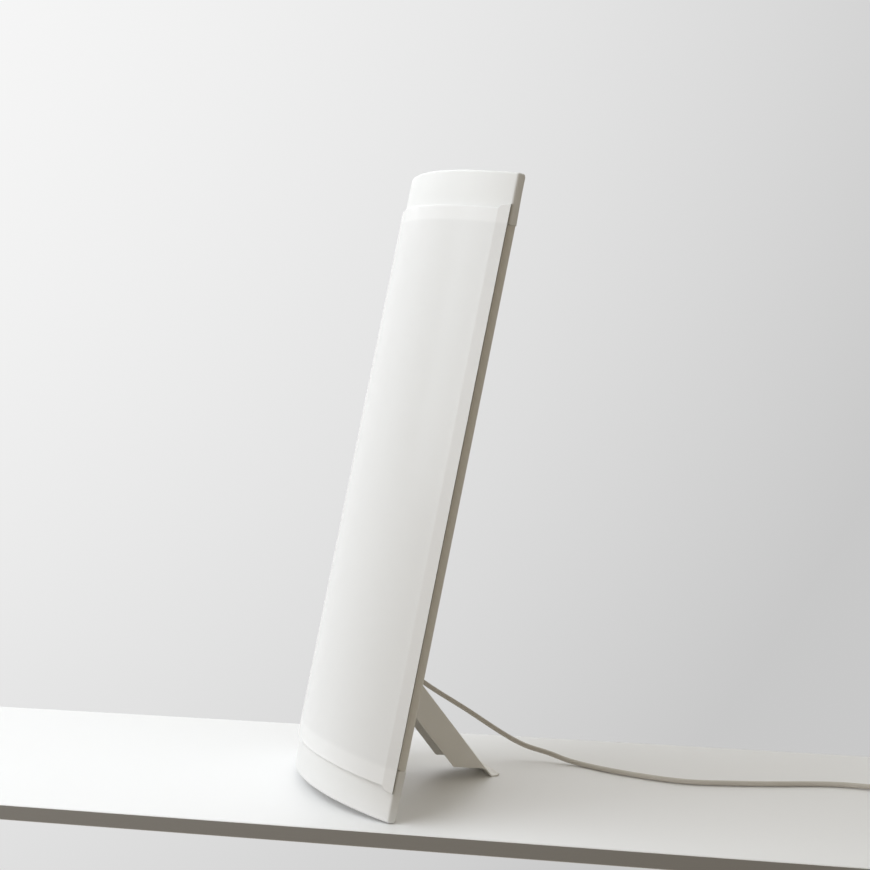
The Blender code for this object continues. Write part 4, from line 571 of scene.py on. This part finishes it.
def strut_sheet():
    """Outer face of the strut as a grid of quads, thickened inward afterwards."""
    bm = bmesh.new()
    columns = strut_columns()
    grid = []
    for row in range(strut_rows + 1):
        line = []
        for x, out in columns:
            top, bottom = strut_top(out), strut_bottom(out)
            line.append(bm.verts.new((x, top + (bottom - top) * row / strut_rows, out)))
        grid.append(line)
    widths = [x for x, _ in columns[flange_steps:-flange_steps]]
    for index in range(bend_steps + 1):
        widths[index] = strut_half - bend_radius * index / bend_steps
        widths[-1 - index] = -widths[index]
    web = [grid[-1][flange_steps:-flange_steps]]
    for point in [Vector((strut_bottom(strut_outer) + web_run_on, strut_outer))] + foot_path():
        web.append([bm.verts.new((x, point.x, point.y)) for x in widths])
    skin(bm, grid, closed=False)
    skin(bm, web, closed=False)
    bmesh.ops.recalc_face_normals(bm, faces=bm.faces)
    bm.faces.ensure_lookup_table()
    if bm.faces[0].normal.x < 0:
        bmesh.ops.reverse_faces(bm, faces=bm.faces)
    return bm


strut = add_piece("strut_channel", mesh_of("strut_channel", strut_sheet(), 40, closed=False), coat,
                  pivot_place @ Matrix.Rotation(-strut_dip, 4, "X"), "strut_arm", "white_metal", "strut")
thicken = strut.modifiers.new("sheet", "SOLIDIFY")
thicken.thickness = strut_gauge
thicken.offset = -1.0
thicken.use_even_offset = True
ease_edges = strut.modifiers.new("eased_edges", "BEVEL")
ease_edges.width = strut_ease
ease_edges.segments = 2
ease_edges.limit_method = "ANGLE"
ease_edges.angle_limit = math.radians(50)

# Strut's pin: a plated steel rivet through the bracket's ears and the strut's two flanges,
# with a low domed head outside each flange.
rivet_radius, rivet_head, rivet_crown, rivet_rim, rivet_dome = 0.0025, 0.0045, 0.0012, 0.0003, 0.0012


def turned_body(profile, steps):
    """Body of revolution from (radius, height) pairs."""
    turns = [2 * math.pi * step / steps for step in range(steps)]
    return rings_to_body([[(radius * math.cos(turn), radius * math.sin(turn), level) for turn in turns]
                          for radius, level in profile])


def strut_rivet():
    """The rivet from head to head."""
    seat = strut_half + seat_gap
    half = [(rivet_radius, seat), (rivet_head, seat), (rivet_head, seat + rivet_rim)]
    for step in range(1, crown_steps):
        turn = math.pi / 2 * step / crown_steps
        half.append((rivet_crown + (rivet_head - rivet_crown) * math.cos(turn),
                     seat + rivet_rim + rivet_dome * math.sin(turn)))
    return turned_body([(radius, -level) for radius, level in reversed(half)] + half, 40)


add_piece("strut_pin_plated", mesh_of("strut_pin_plated", strut_rivet(), 35), zinc,
          pivot_place @ Matrix.Rotation(math.pi / 2, 4, "Y"), "lamp", "plated_steel", "strut_pin")

# Rocker switch: a black snap-in housing above the strut with a dished rocker, marked with
# a line for on and a ring for off. It is moulded plastic, with two plated blades behind.
switch_height = 0.197013
bezel_wide, bezel_tall, bezel_thick, bezel_corner = 0.0152, 0.0214, 0.0018, 0.0012
box_wide, box_tall, box_deep, box_corner = 0.0124, 0.0188, 0.0165, 0.0006
well_wide, well_tall, well_deep, well_corner = 0.0092, 0.0150, 0.0067, 0.0004
blade_place, blade_slot = 0.0045, (0.0054, 0.0014, 0.0040)
rocker_round, rocker_low, rocker_high = 0.0071, math.radians(-34.0), math.radians(30.5)
rocker_tall, dish_middle, dish_depth = 0.00612, 0.0024, 0.0012
rocker_sides = ((-0.0042, 0.955), (-0.0039, 0.99), (-0.0036, 1.0),
                (0.0036, 1.0), (0.0039, 0.99), (0.0042, 0.955))
trunnion_radius, trunnion_reach, trunnion_play = 0.0009, 0.0049, 0.0004
line_half, line_top, line_length = 0.0002, 0.0048, 0.0022
ring_place, ring_radii, ink_under, ink_over = -0.0037, (0.0008, 0.0012), -0.00002, 0.00003
switch_black = moulded("switch_plastic", (0.022, 0.022, 0.023), 0.38, 2200.0, 0.10)
mark_white = moulded("mark_ink", (0.75, 0.75, 0.74), 0.55, 2500.0, 0.05)
switch_place = lamp_place @ Matrix.Translation((0, seat_gap, switch_height))
rocker_place = switch_place @ Matrix.Rotation(math.radians(-7.0), 4, "X")
outward = Matrix.Rotation(-math.pi / 2, 4, "X")


def rounded_block(wide, tall, radius, levels):
    """Upright block with rounded corners, drawn in by an inset at each (level, inset)."""
    rings = []
    for level, inset in levels:
        x, y = wide / 2 - inset, tall / 2 - inset
        outline = rounded_outline([(x, y), (-x, y), (-x, -y), (x, -y)], [max(radius - inset, 0.0001)] * 4, 5)
        rings.append([(*point, level) for point in outline])
    return rings_to_body(rings)


def round_bar(radius, left, right, y, z, steps=32):
    """Round bar along X."""
    turns = [2 * math.pi * step / steps for step in range(steps)]
    return rings_to_body([[(x, y + radius * math.cos(turn), z + radius * math.sin(turn)) for turn in turns]
                          for x in (left, right)])


def switch_case():
    """Bezel and box in one, hollowed for the rocker, its trunnions and the blades."""
    bezel = rounded_block(bezel_wide, bezel_tall, bezel_corner, [
        (0.0, 0.0), (bezel_thick - 0.0006, 0.0), (bezel_thick - 0.0002, 0.0002), (bezel_thick, 0.0006)])
    box = rounded_block(box_wide, box_tall, box_corner, [
        (-box_deep, 0.0003), (0.0003 - box_deep, 0.0), (bezel_thick / 2, 0.0)])
    case = carved("switch_case", bezel, box, "UNION")
    rooms = rounded_block(well_wide, well_tall, well_corner, [(-well_deep, 0.0), (2 * overrun, 0.0)])
    for side in (-1, 1):
        slot = Matrix.Translation((0, side * blade_place, -box_deep)) @ Matrix.Diagonal((*blade_slot, 1))
        bmesh.ops.create_cube(rooms, size=1.0, matrix=slot)
    case = carved("switch_case", case, rooms, "DIFFERENCE")
    reach = trunnion_reach + trunnion_play
    bearing = round_bar(trunnion_radius + trunnion_play, -reach, reach, 0, 0)
    return carved("switch_case", case, bearing, "DIFFERENCE")


def dish(up):
    """How far the rocker's dished face stands out at a height along it."""
    return dish_middle + dish_depth * (up / rocker_tall) ** 2


def rocker_body():
    """Rocker with a dished face, round ends and eased sides, and its two trunnions."""
    ends = []
    for step in range(13):
        angle = rocker_low + (rocker_high - rocker_low) * step / 12
        ends.append((rocker_round * math.sin(angle), rocker_round * math.cos(angle)))
    face = [(dish(rocker_tall * (1 - step / 12)), rocker_tall * (1 - step / 12)) for step in range(1, 24)]
    outline = ends + face + [(out, -up) for out, up in reversed(ends)]
    body = rings_to_body([[(x, out * share, up * share) for out, up in outline] for x, share in rocker_sides])
    trunnions = round_bar(trunnion_radius, -trunnion_reach, trunnion_reach, 0, 0, 24)
    return carved("rocker", body, trunnions, "UNION")


def rocker_marks():
    """Printed line above and ring below the rocker's middle, a few hundredths of a millimetre thick."""
    bm = bmesh.new()
    line = [[(x, line_top - line_length * step / 8) for step in range(9)] for x in (-line_half, line_half)]
    turns = [2 * math.pi * step / 32 for step in range(32)]
    ring = [[(radius * math.cos(turn), ring_place + radius * math.sin(turn)) for turn in turns]
            for radius in ring_radii]
    for (inner, outer), closed in ((line, False), (ring, True)):
        edges = ((inner, ink_under), (inner, ink_over), (outer, ink_over), (outer, ink_under))
        grid = [[bm.verts.new((x, dish(up) + lift, up)) for x, up in edge] for edge, lift in edges]
        skin(bm, grid + grid[:1], closed)
        if not closed:
            bm.faces.new([edge[0] for edge in grid])
            bm.faces.new([edge[-1] for edge in reversed(grid)])
    return bm


add_piece("switch_case", mesh_of("switch_case", switch_case(), 30), switch_black,
          switch_place @ outward, "lamp", "black_plastic", "switch_housing")
add_piece("switch_rocker_moulding", mesh_of("switch_rocker_moulding", rocker_body(), 35), switch_black,
          rocker_place, "rocker", "black_plastic", "switch_rocker")
add_piece("switch_marks", mesh_of("switch_marks", rocker_marks(), 35), mark_white,
          rocker_place, "rocker", None)
dress("switch_blade_lower", zinc)
dress("switch_blade_upper", zinc)

# Cord bush and strain relief: a moulded snap-in bush in the pan, and a ribbed sleeve that
# tapers along the cord to keep it from kinking. Both are in the cord's own soft plastic.
cord_side, cord_height = -0.060, 0.129
bush_neck, bush_barb, bush_barb_ease, bush_flange = 0.0047, 0.0060, 0.0002, 0.0075
bush_low, bush_shoulder, bush_thick, bush_round = 0.0032, 0.0014, 0.0025, 0.0008
sleeve_start, sleeve_length, sleeve_ribs, sleeve_groove = 0.0031, 0.0278, 5, 0.11
sleeve_wide, sleeve_narrow = 0.0056, 0.0036
sheath = moulded("cord_sheath", (0.57, 0.535, 0.48), 0.48, 2600.0, 0.10)


def snap_in_bush():
    """Flange outside the pan, neck through it and a barb inside."""
    profile = [(bush_barb - bush_barb_ease, -bush_low), (bush_barb, bush_barb_ease - bush_low),
               (bush_barb, -bush_shoulder), (bush_neck, -bush_shoulder), (bush_neck, 0.0),
               (bush_flange - 0.0002, 0.0)]
    for step in range(9):
        turn = math.pi / 2 * step / 8
        profile.append((bush_flange - bush_round + bush_round * math.cos(turn),
                        bush_thick - bush_round + bush_round * math.sin(turn)))
    return turned_body(profile, 48)


def ribbed_sleeve():
    """Tapered sleeve with soft ribs and grooves between them."""
    profile = [(sleeve_wide - 0.0004, 0.0), (sleeve_wide, 0.0004)]
    for step in range(1, 90):
        along = step / 90
        wave = 0.5 + 0.5 * math.cos(2 * math.pi * (along * sleeve_ribs - 0.25))
        faded = min(1.0, 12 * along) * min(1.0, 12 * (1 - along))
        groove = sleeve_groove * max(0.0, min(1.0, 1.6 * (1 - wave) - 0.3)) * faded
        wide = sleeve_wide + (sleeve_narrow - sleeve_wide) * along
        profile.append((wide * (1 - groove), sleeve_length * along))
    profile += [(sleeve_narrow, sleeve_length - 0.0003), (sleeve_narrow - 0.0003, sleeve_length)]
    return turned_body(profile, 48)


add_piece("snap_in_bush", mesh_of("snap_in_bush", snap_in_bush(), 35), sheath,
          lamp_place @ Matrix.Translation((cord_side, seat_gap, cord_height)) @ outward,
          "lamp", "cord_sheath", "cord_bush")
add_piece("ribbed_sleeve", mesh_of("ribbed_sleeve", ribbed_sleeve(), 50), sheath,
          lamp_place @ Matrix.Translation((cord_side, sleeve_start, cord_height)) @ outward,
          "lamp", "cord_sheath", "strain_relief")

# Mains cord: 1.8 m of round three-core flex, 5.4 mm thick, in a pale sheath. It falls from
# the sleeve behind the lamp, crosses the table, and the rest is wound up with its plug.
cord_diameter, cord_length, join_gap = 0.0054, 1.80, 0.0003
cord_start = sleeve_start + sleeve_length + join_gap
cord_exit = lamp_place @ Vector((cord_side, cord_start, cord_height))
cord_straight = lamp_place @ Vector((cord_side, cord_start + cord_diameter, cord_height))
route_places = (
    (-0.0600, 0.0160, 0.1149),
    (-0.0598, 0.0270, 0.1078),
    (-0.0590, 0.0516, 0.0883),
    (-0.0550, 0.0744, 0.0719),
    (-0.0485, 0.1000, 0.0543),
    (-0.0400, 0.1215, 0.0385),
    (-0.0290, 0.1415, 0.0246),
    (-0.0185, 0.1570, 0.0162),
    (0.0000, 0.1781, 0.0098),
    (0.0125, 0.1895, 0.0055),
    (0.0286, 0.2014, 0.0031),
    (0.0562, 0.2160, 0.0030),
    (0.0871, 0.2362, 0.0030),
    (0.1150, 0.2585, 0.0030),
    (0.1330, 0.2775, 0.0030),
    (0.1503, 0.3075, 0.0030),
    (0.1750, 0.3600, 0.0030),
    (0.2010, 0.4170, 0.0030),
)
tail_places = (
    (0.2388, 0.5521, 0.0083),
    (0.2378, 0.5698, 0.0064),
    (0.2487, 0.5855, 0.0050),
    (0.2672, 0.5905, 0.0060),
    (0.2846, 0.5824, 0.0105),
)
coil_centre, coil_start, coil_lift = (0.2100, 0.5125), math.radians(-14.0), 0.0010
coil_turns, coil_bend, coil_step = 5.10, 0.0243, 0.0061
plug_length = 0.0593
plug_place = Matrix.Translation((0.3435, 0.5235, 0.0152)) @ Matrix.Rotation(math.radians(-45), 4, "Z")


def smooth_points(places, spacing):
    """Evenly spaced points on the cubic curve through the places."""
    knots = np.array(places, dtype=float)
    steps = np.linalg.norm(np.diff(knots, axis=0), axis=1)
    count = len(knots)
    system = np.zeros((count, count))
    right = np.zeros((count, 3))
    system[0, 0], system[0, 1] = 2 / steps[0], 1 / steps[0]
    right[0] = 3 * (knots[1] - knots[0]) / steps[0] ** 2
    system[-1, -1], system[-1, -2] = 2 / steps[-1], 1 / steps[-1]
    right[-1] = 3 * (knots[-1] - knots[-2]) / steps[-1] ** 2
    for index in range(1, count - 1):
        before, after = steps[index - 1], steps[index]
        system[index, index - 1] = 1 / before
        system[index, index] = 2 / before + 2 / after
        system[index, index + 1] = 1 / after
        right[index] = 3 * ((knots[index] - knots[index - 1]) / before ** 2
                            + (knots[index + 1] - knots[index]) / after ** 2)
    slopes = np.linalg.solve(system, right)
    fine = []
    for index in range(count - 1):
        shares = np.linspace(0, 1, 60, endpoint=index == count - 2)[:, None]
        rise = knots[index + 1] - knots[index]
        bend_in = slopes[index] * steps[index] - rise
        bend_out = rise - slopes[index + 1] * steps[index]
        bend = (1 - shares) * bend_in + shares * bend_out
        fine.append(knots[index] + shares * rise + shares * (1 - shares) * bend)
    fine = np.concatenate(fine)
    run = np.concatenate([[0.0], np.cumsum(np.linalg.norm(np.diff(fine, axis=0), axis=1))])
    wanted = np.linspace(0, run[-1], max(2, round(run[-1] / spacing)) + 1)
    return list(zip(*(np.interp(wanted, run, fine[:, axis]).tolist() for axis in range(3))))


def coil_points(per_turn):
    """Two layers of turns: inward on the table, a climb where it turns back, outward on top."""
    total = coil_turns * 2 * math.pi
    count = round(coil_turns * per_turn)
    points = []
    for step in range(count + 1):
        wound = total * step / count
        radius = coil_bend + coil_step * abs(wound - total / 2) / (2 * math.pi)
        climb = min(1.0, max(0.0, (wound - total / 2) / math.pi + 0.5))
        height = cord_diameter / 2 + coil_lift + coil_step * climb * climb * (3 - 2 * climb)
        angle = coil_start + wound
        points.append((coil_centre[0] + radius * math.cos(angle),
                       coil_centre[1] + radius * math.sin(angle), height))
    return points


def past(point, towards, distance):
    """Place beyond a point, away from where the cord came."""
    return tuple(Vector(point) + (Vector(point) - Vector(towards)).normalized() * distance)


coil = coil_points(48)
entry = past(coil[0], coil[1], cord_diameter + join_gap)
leave = past(coil[-1], coil[-2], cord_diameter + join_gap)
plug_end = plug_place @ Vector((-plug_length, 0, 0))
plug_near = plug_place @ Vector((-plug_length - 2 * cord_diameter, 0, 0))
approach = [past(entry, coil[0], distance * cord_diameter) for distance in (3, 1)]
lead = smooth_points([tuple(cord_exit), tuple(cord_straight), *route_places, *approach, entry], 0.005)
tail = smooth_points([leave, past(leave, coil[-1], cord_diameter), *tail_places,
                      tuple(plug_near), tuple(plug_end)], 0.004)
cord_points = lead + coil + tail
cord_line = bpy.data.curves.new("mains_cord", "CURVE")
cord_line.dimensions = "3D"
cord_line.bevel_depth = cord_diameter / 2
cord_line.bevel_resolution = 8
cord_line.use_fill_caps = True
cord_spline = cord_line.splines.new("POLY")
cord_spline.points.add(len(cord_points) - 1)
for point, place in zip(cord_spline.points, cord_points):
    point.co = (*place, 1.0)
cord_spline.use_smooth = True
cord = add_piece("mains_cord", cord_line, sheath, Matrix.Identity(4), "lamp", "cord_sheath",
                 "cord", "cord_coil", "cord_tail")

# Tie: a strip of black hook-and-loop tape wrapped once round the wound cord, a close weave
# with a soft nap.
def woven_tape(name):
    """Napped tape: a close weave with a soft sheen."""
    finish = Finish(name)
    finish.shader.inputs["Roughness"].default_value = 0.9
    finish.shader.inputs["Sheen Weight"].default_value = 0.4
    weave = finish.node("TexWave", Scale=700.0, Distortion=3.0)
    weave.wave_type = "BANDS"
    weave.bands_direction = "DIAGONAL"
    finish.links.new(finish.place, weave.inputs["Vector"])
    finish.tint(weave.outputs["Fac"], (0.016, 0.016, 0.017), (0.045, 0.045, 0.047))
    finish.relief(weave.outputs["Fac"], 0.5, 0.0003)
    return finish.material


dress("coil_tie", woven_tape("tie_tape"))

# Plug: a moulded two-pin plug with side earth contacts, in the cord's own pale plastic,
# with nickel-plated pins. The cord is handed on with it and its tie.
grip_places = (-0.059, -0.0462, -0.043, -0.0297, -0.023, -0.0015, 0.0)
grip_widths = (0.010, 0.012, 0.020, 0.0285, 0.037, 0.037, 0.034)
grip_heights = (0.010, 0.012, 0.020, 0.024, 0.028, 0.028, 0.025)
grip_squareness = (2.0, 2.0, 2.2, 2.6, 3.2, 3.2, 3.2)
grip_steps, grip_around, face_ease, face_lift, smoothing = 80, 72, 0.0015, 0.003, 0.0015
rib_depth, rib_pitch, rib_phase, rib_from, rib_to = 0.0009, 0.0032, 0.026, -0.042, -0.026
earth_hole, earth_hole_depth, earth_hole_place = 0.0025, 0.0140, 0.0095
pin_radius, pin_seat, pin_straight, pin_tip, pin_offset = 0.0024, 0.0077, 0.0172, 0.0018, 0.0095
pin_room_radius, pin_room_depth = 0.0027, 0.0080
clip_room, clip_room_place, clip_room_height = (0.0156, 0.0061, 0.0016), -0.0115, 0.014
nickel = plated_steel("nickel_plate", (0.74, 0.72, 0.67), 0.22)


def plug_moulding():
    """Squarish head, waisted grip with five shallow ribs, and a slim neck down to the cord."""
    rings = []
    length = -grip_places[0] - face_ease
    for x in [0.0, -0.0004, -0.0009, -face_ease] + [-face_ease - length * step / grip_steps
                                                    for step in range(1, grip_steps + 1)]:
        window = [x + smoothing * share if x < -0.004 else x for share in (-1, -0.5, 0, 0.5, 1)]
        wide, tall, square = (sum(np.interp(place, grip_places, values) for place in window) / 5
                              for values in (grip_widths, grip_heights, grip_squareness))
        if -face_ease < x <= 0.0:
            eased = face_lift * math.sqrt(1 - (1 + x / face_ease) ** 2)
            wide, tall = grip_widths[-1] + eased, grip_heights[-1] + eased
        if rib_from < x < rib_to:
            rib = rib_depth * (0.5 - 0.5 * math.cos((x + rib_phase) * 2 * math.pi / rib_pitch))
            wide, tall = wide - rib, tall - rib
        ring = []
        for step in range(grip_around):
            turn = 2 * math.pi * (step + 0.5) / grip_around
            across = math.copysign(abs(math.cos(turn)) ** (2 / square), math.cos(turn))
            up = math.copysign(abs(math.sin(turn)) ** (2 / square), math.sin(turn))
            ring.append((x, across * wide / 2, up * tall / 2))
        rings.append(ring)
    rooms = round_bar(earth_hole, -earth_hole_depth, overrun, 0.0, earth_hole_place)
    for side in (-1, 1):
        pin_room = round_bar(pin_room_radius, -pin_room_depth, overrun, side * pin_offset, 0.0)
        spare = bpy.data.meshes.new("spare")
        pin_room.to_mesh(spare)
        pin_room.free()
        rooms.from_mesh(spare)
        bpy.data.meshes.remove(spare)
        slot = Matrix.Translation((clip_room_place, 0, side * clip_room_height))
        bmesh.ops.create_cube(rooms, size=1.0, matrix=slot @ Matrix.Diagonal((*clip_room, 1)))
    return carved("plug", rings_to_body(rings), rooms, "DIFFERENCE")


def plug_pin():
    """Round pin with a softly domed tip."""
    profile = [(pin_radius, -pin_seat), (pin_radius, pin_straight)]
    for step in range(1, 8):
        turn = math.pi / 2 * step / 8
        profile.append((pin_radius * math.cos(turn) ** 0.7, pin_straight + pin_tip * math.sin(turn)))
    return turned_body(profile, 32)


plug_pieces = [add_piece("plug_moulding", mesh_of("plug_moulding", plug_moulding(), 40), sheath,
                         plug_place, "lamp", "cord_sheath", "plug_body")]
for node, across in (("plug_pin_left", pin_offset), ("plug_pin_right", -pin_offset)):
    stand = plug_place @ Matrix.Translation((0, across, 0)) @ Matrix.Rotation(math.pi / 2, 4, "Y")
    plug_pieces.append(add_piece(node + "_plated", mesh_of(node + "_plated", plug_pin(), 35), nickel,
                                 stand, "lamp", "nickel_plate", node))
for node in ("plug_earth_clip_top", "plug_earth_clip_bottom", "coil_tie"):
    plug_pieces.append(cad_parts[node])
dress("plug_earth_clip_top", nickel)
dress("plug_earth_clip_bottom", nickel)

# Table: the plain white board that the lamp stands on, 16 mm thick, with eased edges and a
# grey band along its long edges. It crosses the view at a slant.
board_front, board_ends = Vector((0.0179, -0.2779)), (-1.1, 1.9)
board_along, board_across = Vector((0.5737, 0.8191)), Vector((-0.8191, 0.5737))
board_depth, board_thick, board_ease = 0.3765, 0.0160, 0.0008


def table_board():
    """The board, with its band's faces on the second material."""
    inner, lower = board_depth - board_ease, board_ease - board_thick
    section = [(0.0, lower), (0.0, -board_ease), (board_ease, 0.0), (inner, 0.0), (board_depth, -board_ease),
               (board_depth, lower), (inner, -board_thick), (board_ease, -board_thick)]
    bm = rings_to_body([[(*(board_front + board_along * end + board_across * depth), level)
                         for depth, level in section] for end in board_ends])
    bm.faces.ensure_lookup_table()
    for edge in (0, 4):
        bm.faces[edge].material_index = 1
    return bm


def board_finish(name, colour):
    """Plain melamine facing with a very faint unevenness."""
    finish = Finish(name)
    finish.shader.inputs["Roughness"].default_value = 0.5
    finish.tint(finish.mottle(3.0, 2.0), toned(colour, 0.98), colour)
    return finish.material


table = bpy.data.objects.new("table_board", mesh_of("table_board", table_board(), 30))
table.data.materials.append(board_finish("white_melamine", (0.86, 0.86, 0.86)))
table.data.materials.append(board_finish("grey_edge_band", (0.30, 0.285, 0.265)))
bpy.context.scene.collection.objects.link(table)

# Studio: pale walls that shade off to the camera's right and look a little brighter behind
# the lamp in reflections, a warm fill for the shade, and wide soft lights at the front, on
# the left and above.
ambient_colour, ambient_strength = (1.0, 0.86, 0.63, 1), 0.243
wall_towards, wall_levels = (-0.912, -0.210, 0.306), (0.58, 0.95)
window_towards, window_levels, window_edge = (-0.190, 0.982, 0.0), (-0.04, 0.04), 0.02
world = bpy.data.worlds.new("studio")
bpy.context.scene.world = world
world.use_nodes = True
studio, wires = world.node_tree.nodes, world.node_tree.links
studio.clear()


def studio_math(kind, operation, *inputs):
    """Sum node fed by sockets or plain values."""
    made = studio.new(kind)
    made.operation = operation
    for socket, value in zip(made.inputs, inputs):
        if isinstance(value, bpy.types.NodeSocket):
            wires.new(value, socket)
        else:
            socket.default_value = value
    return made.outputs["Value"]


rays = studio.new("ShaderNodeLightPath").outputs
direction = studio.new("ShaderNodeTexCoord").outputs["Generated"]
shade = studio.new("ShaderNodeClamp")
shade.inputs["Min"].default_value, shade.inputs["Max"].default_value = wall_levels
facing_wall = studio_math("ShaderNodeVectorMath", "DOT_PRODUCT", direction, wall_towards)
wires.new(facing_wall, shade.inputs["Value"])
window = studio.new("ShaderNodeMapRange")
window.inputs["From Min"].default_value, window.inputs["From Max"].default_value = -window_edge, window_edge
window.inputs["To Min"].default_value, window.inputs["To Max"].default_value = window_levels
facing_window = studio_math("ShaderNodeVectorMath", "DOT_PRODUCT", direction, window_towards)
wires.new(facing_window, window.inputs["Value"])
wall_strength = studio_math("ShaderNodeMath", "MULTIPLY_ADD",
                            window.outputs["Result"], rays["Is Glossy Ray"], shade.outputs["Result"])
seen = studio_math("ShaderNodeMath", "MAXIMUM", rays["Is Camera Ray"], rays["Is Glossy Ray"])
seen_or_through = studio_math("ShaderNodeMath", "MAXIMUM", seen, rays["Is Transmission Ray"])
fill = studio.new("ShaderNodeBackground")
fill.inputs["Color"].default_value = ambient_colour
fill.inputs["Strength"].default_value = ambient_strength
walls = studio.new("ShaderNodeBackground")
walls.inputs["Color"].default_value = (1, 1, 1, 1)
wires.new(wall_strength, walls.inputs["Strength"])
mixed = studio.new("ShaderNodeMixShader")
wires.new(seen_or_through, mixed.inputs["Fac"])
wires.new(fill.outputs["Background"], mixed.inputs[1])
wires.new(walls.outputs["Background"], mixed.inputs[2])
wires.new(mixed.outputs["Shader"], studio.new("ShaderNodeOutputWorld").inputs["Surface"])
lit_middle = Vector((0, 0, 0.25))


def add_softbox(name, round_by, up_by, distance, size, power, colour):
    """Large soft light, placed by its angle round from the lamp's front and its angle above the table."""
    light = bpy.data.lights.new(name, "AREA")
    light.shape = "RECTANGLE"
    light.size, light.size_y = size
    light.energy = power
    light.color = colour
    softbox = bpy.data.objects.new(name, light)
    turn, rise = math.radians(round_by), math.radians(up_by)
    away = Vector((-math.sin(turn) * math.cos(rise), -math.cos(turn) * math.cos(rise), math.sin(rise)))
    softbox.location = lit_middle + away * distance
    softbox.rotation_euler = away.to_track_quat("Z", "Y").to_euler()
    bpy.context.scene.collection.objects.link(softbox)


add_softbox("key_softbox", 20, 50, 2.2, (1.3, 1.3), 12.4, (0.885, 0.94, 1.0))
add_softbox("front_softbox", 0, 35, 2.4, (2.4, 2.0), 19.3, (0.885, 0.94, 1.0))
add_softbox("front_left_softbox", 50, 50, 2.2, (1.3, 1.3), 7.8, (0.87, 0.95, 1.0))
add_softbox("right_front_light", -15, 12, 2.6, (1.8, 1.4), 14.2, (0.98, 0.975, 1.0))
add_softbox("left_window", 95, 40, 2.4, (2.0, 1.8), 12.0, (0.955, 0.955, 1.0))
add_softbox("left_back_window", 135, 45, 2.4, (3.0, 2.4), 8.7, (0.90, 0.98, 1.0))
add_softbox("top_softbox", 0, 85, 2.4, (3.0, 3.0), 12.0, (0.93, 0.965, 1.0))
bpy.context.scene.view_settings.view_transform = "Standard"

bpy.context.view_layer.update()
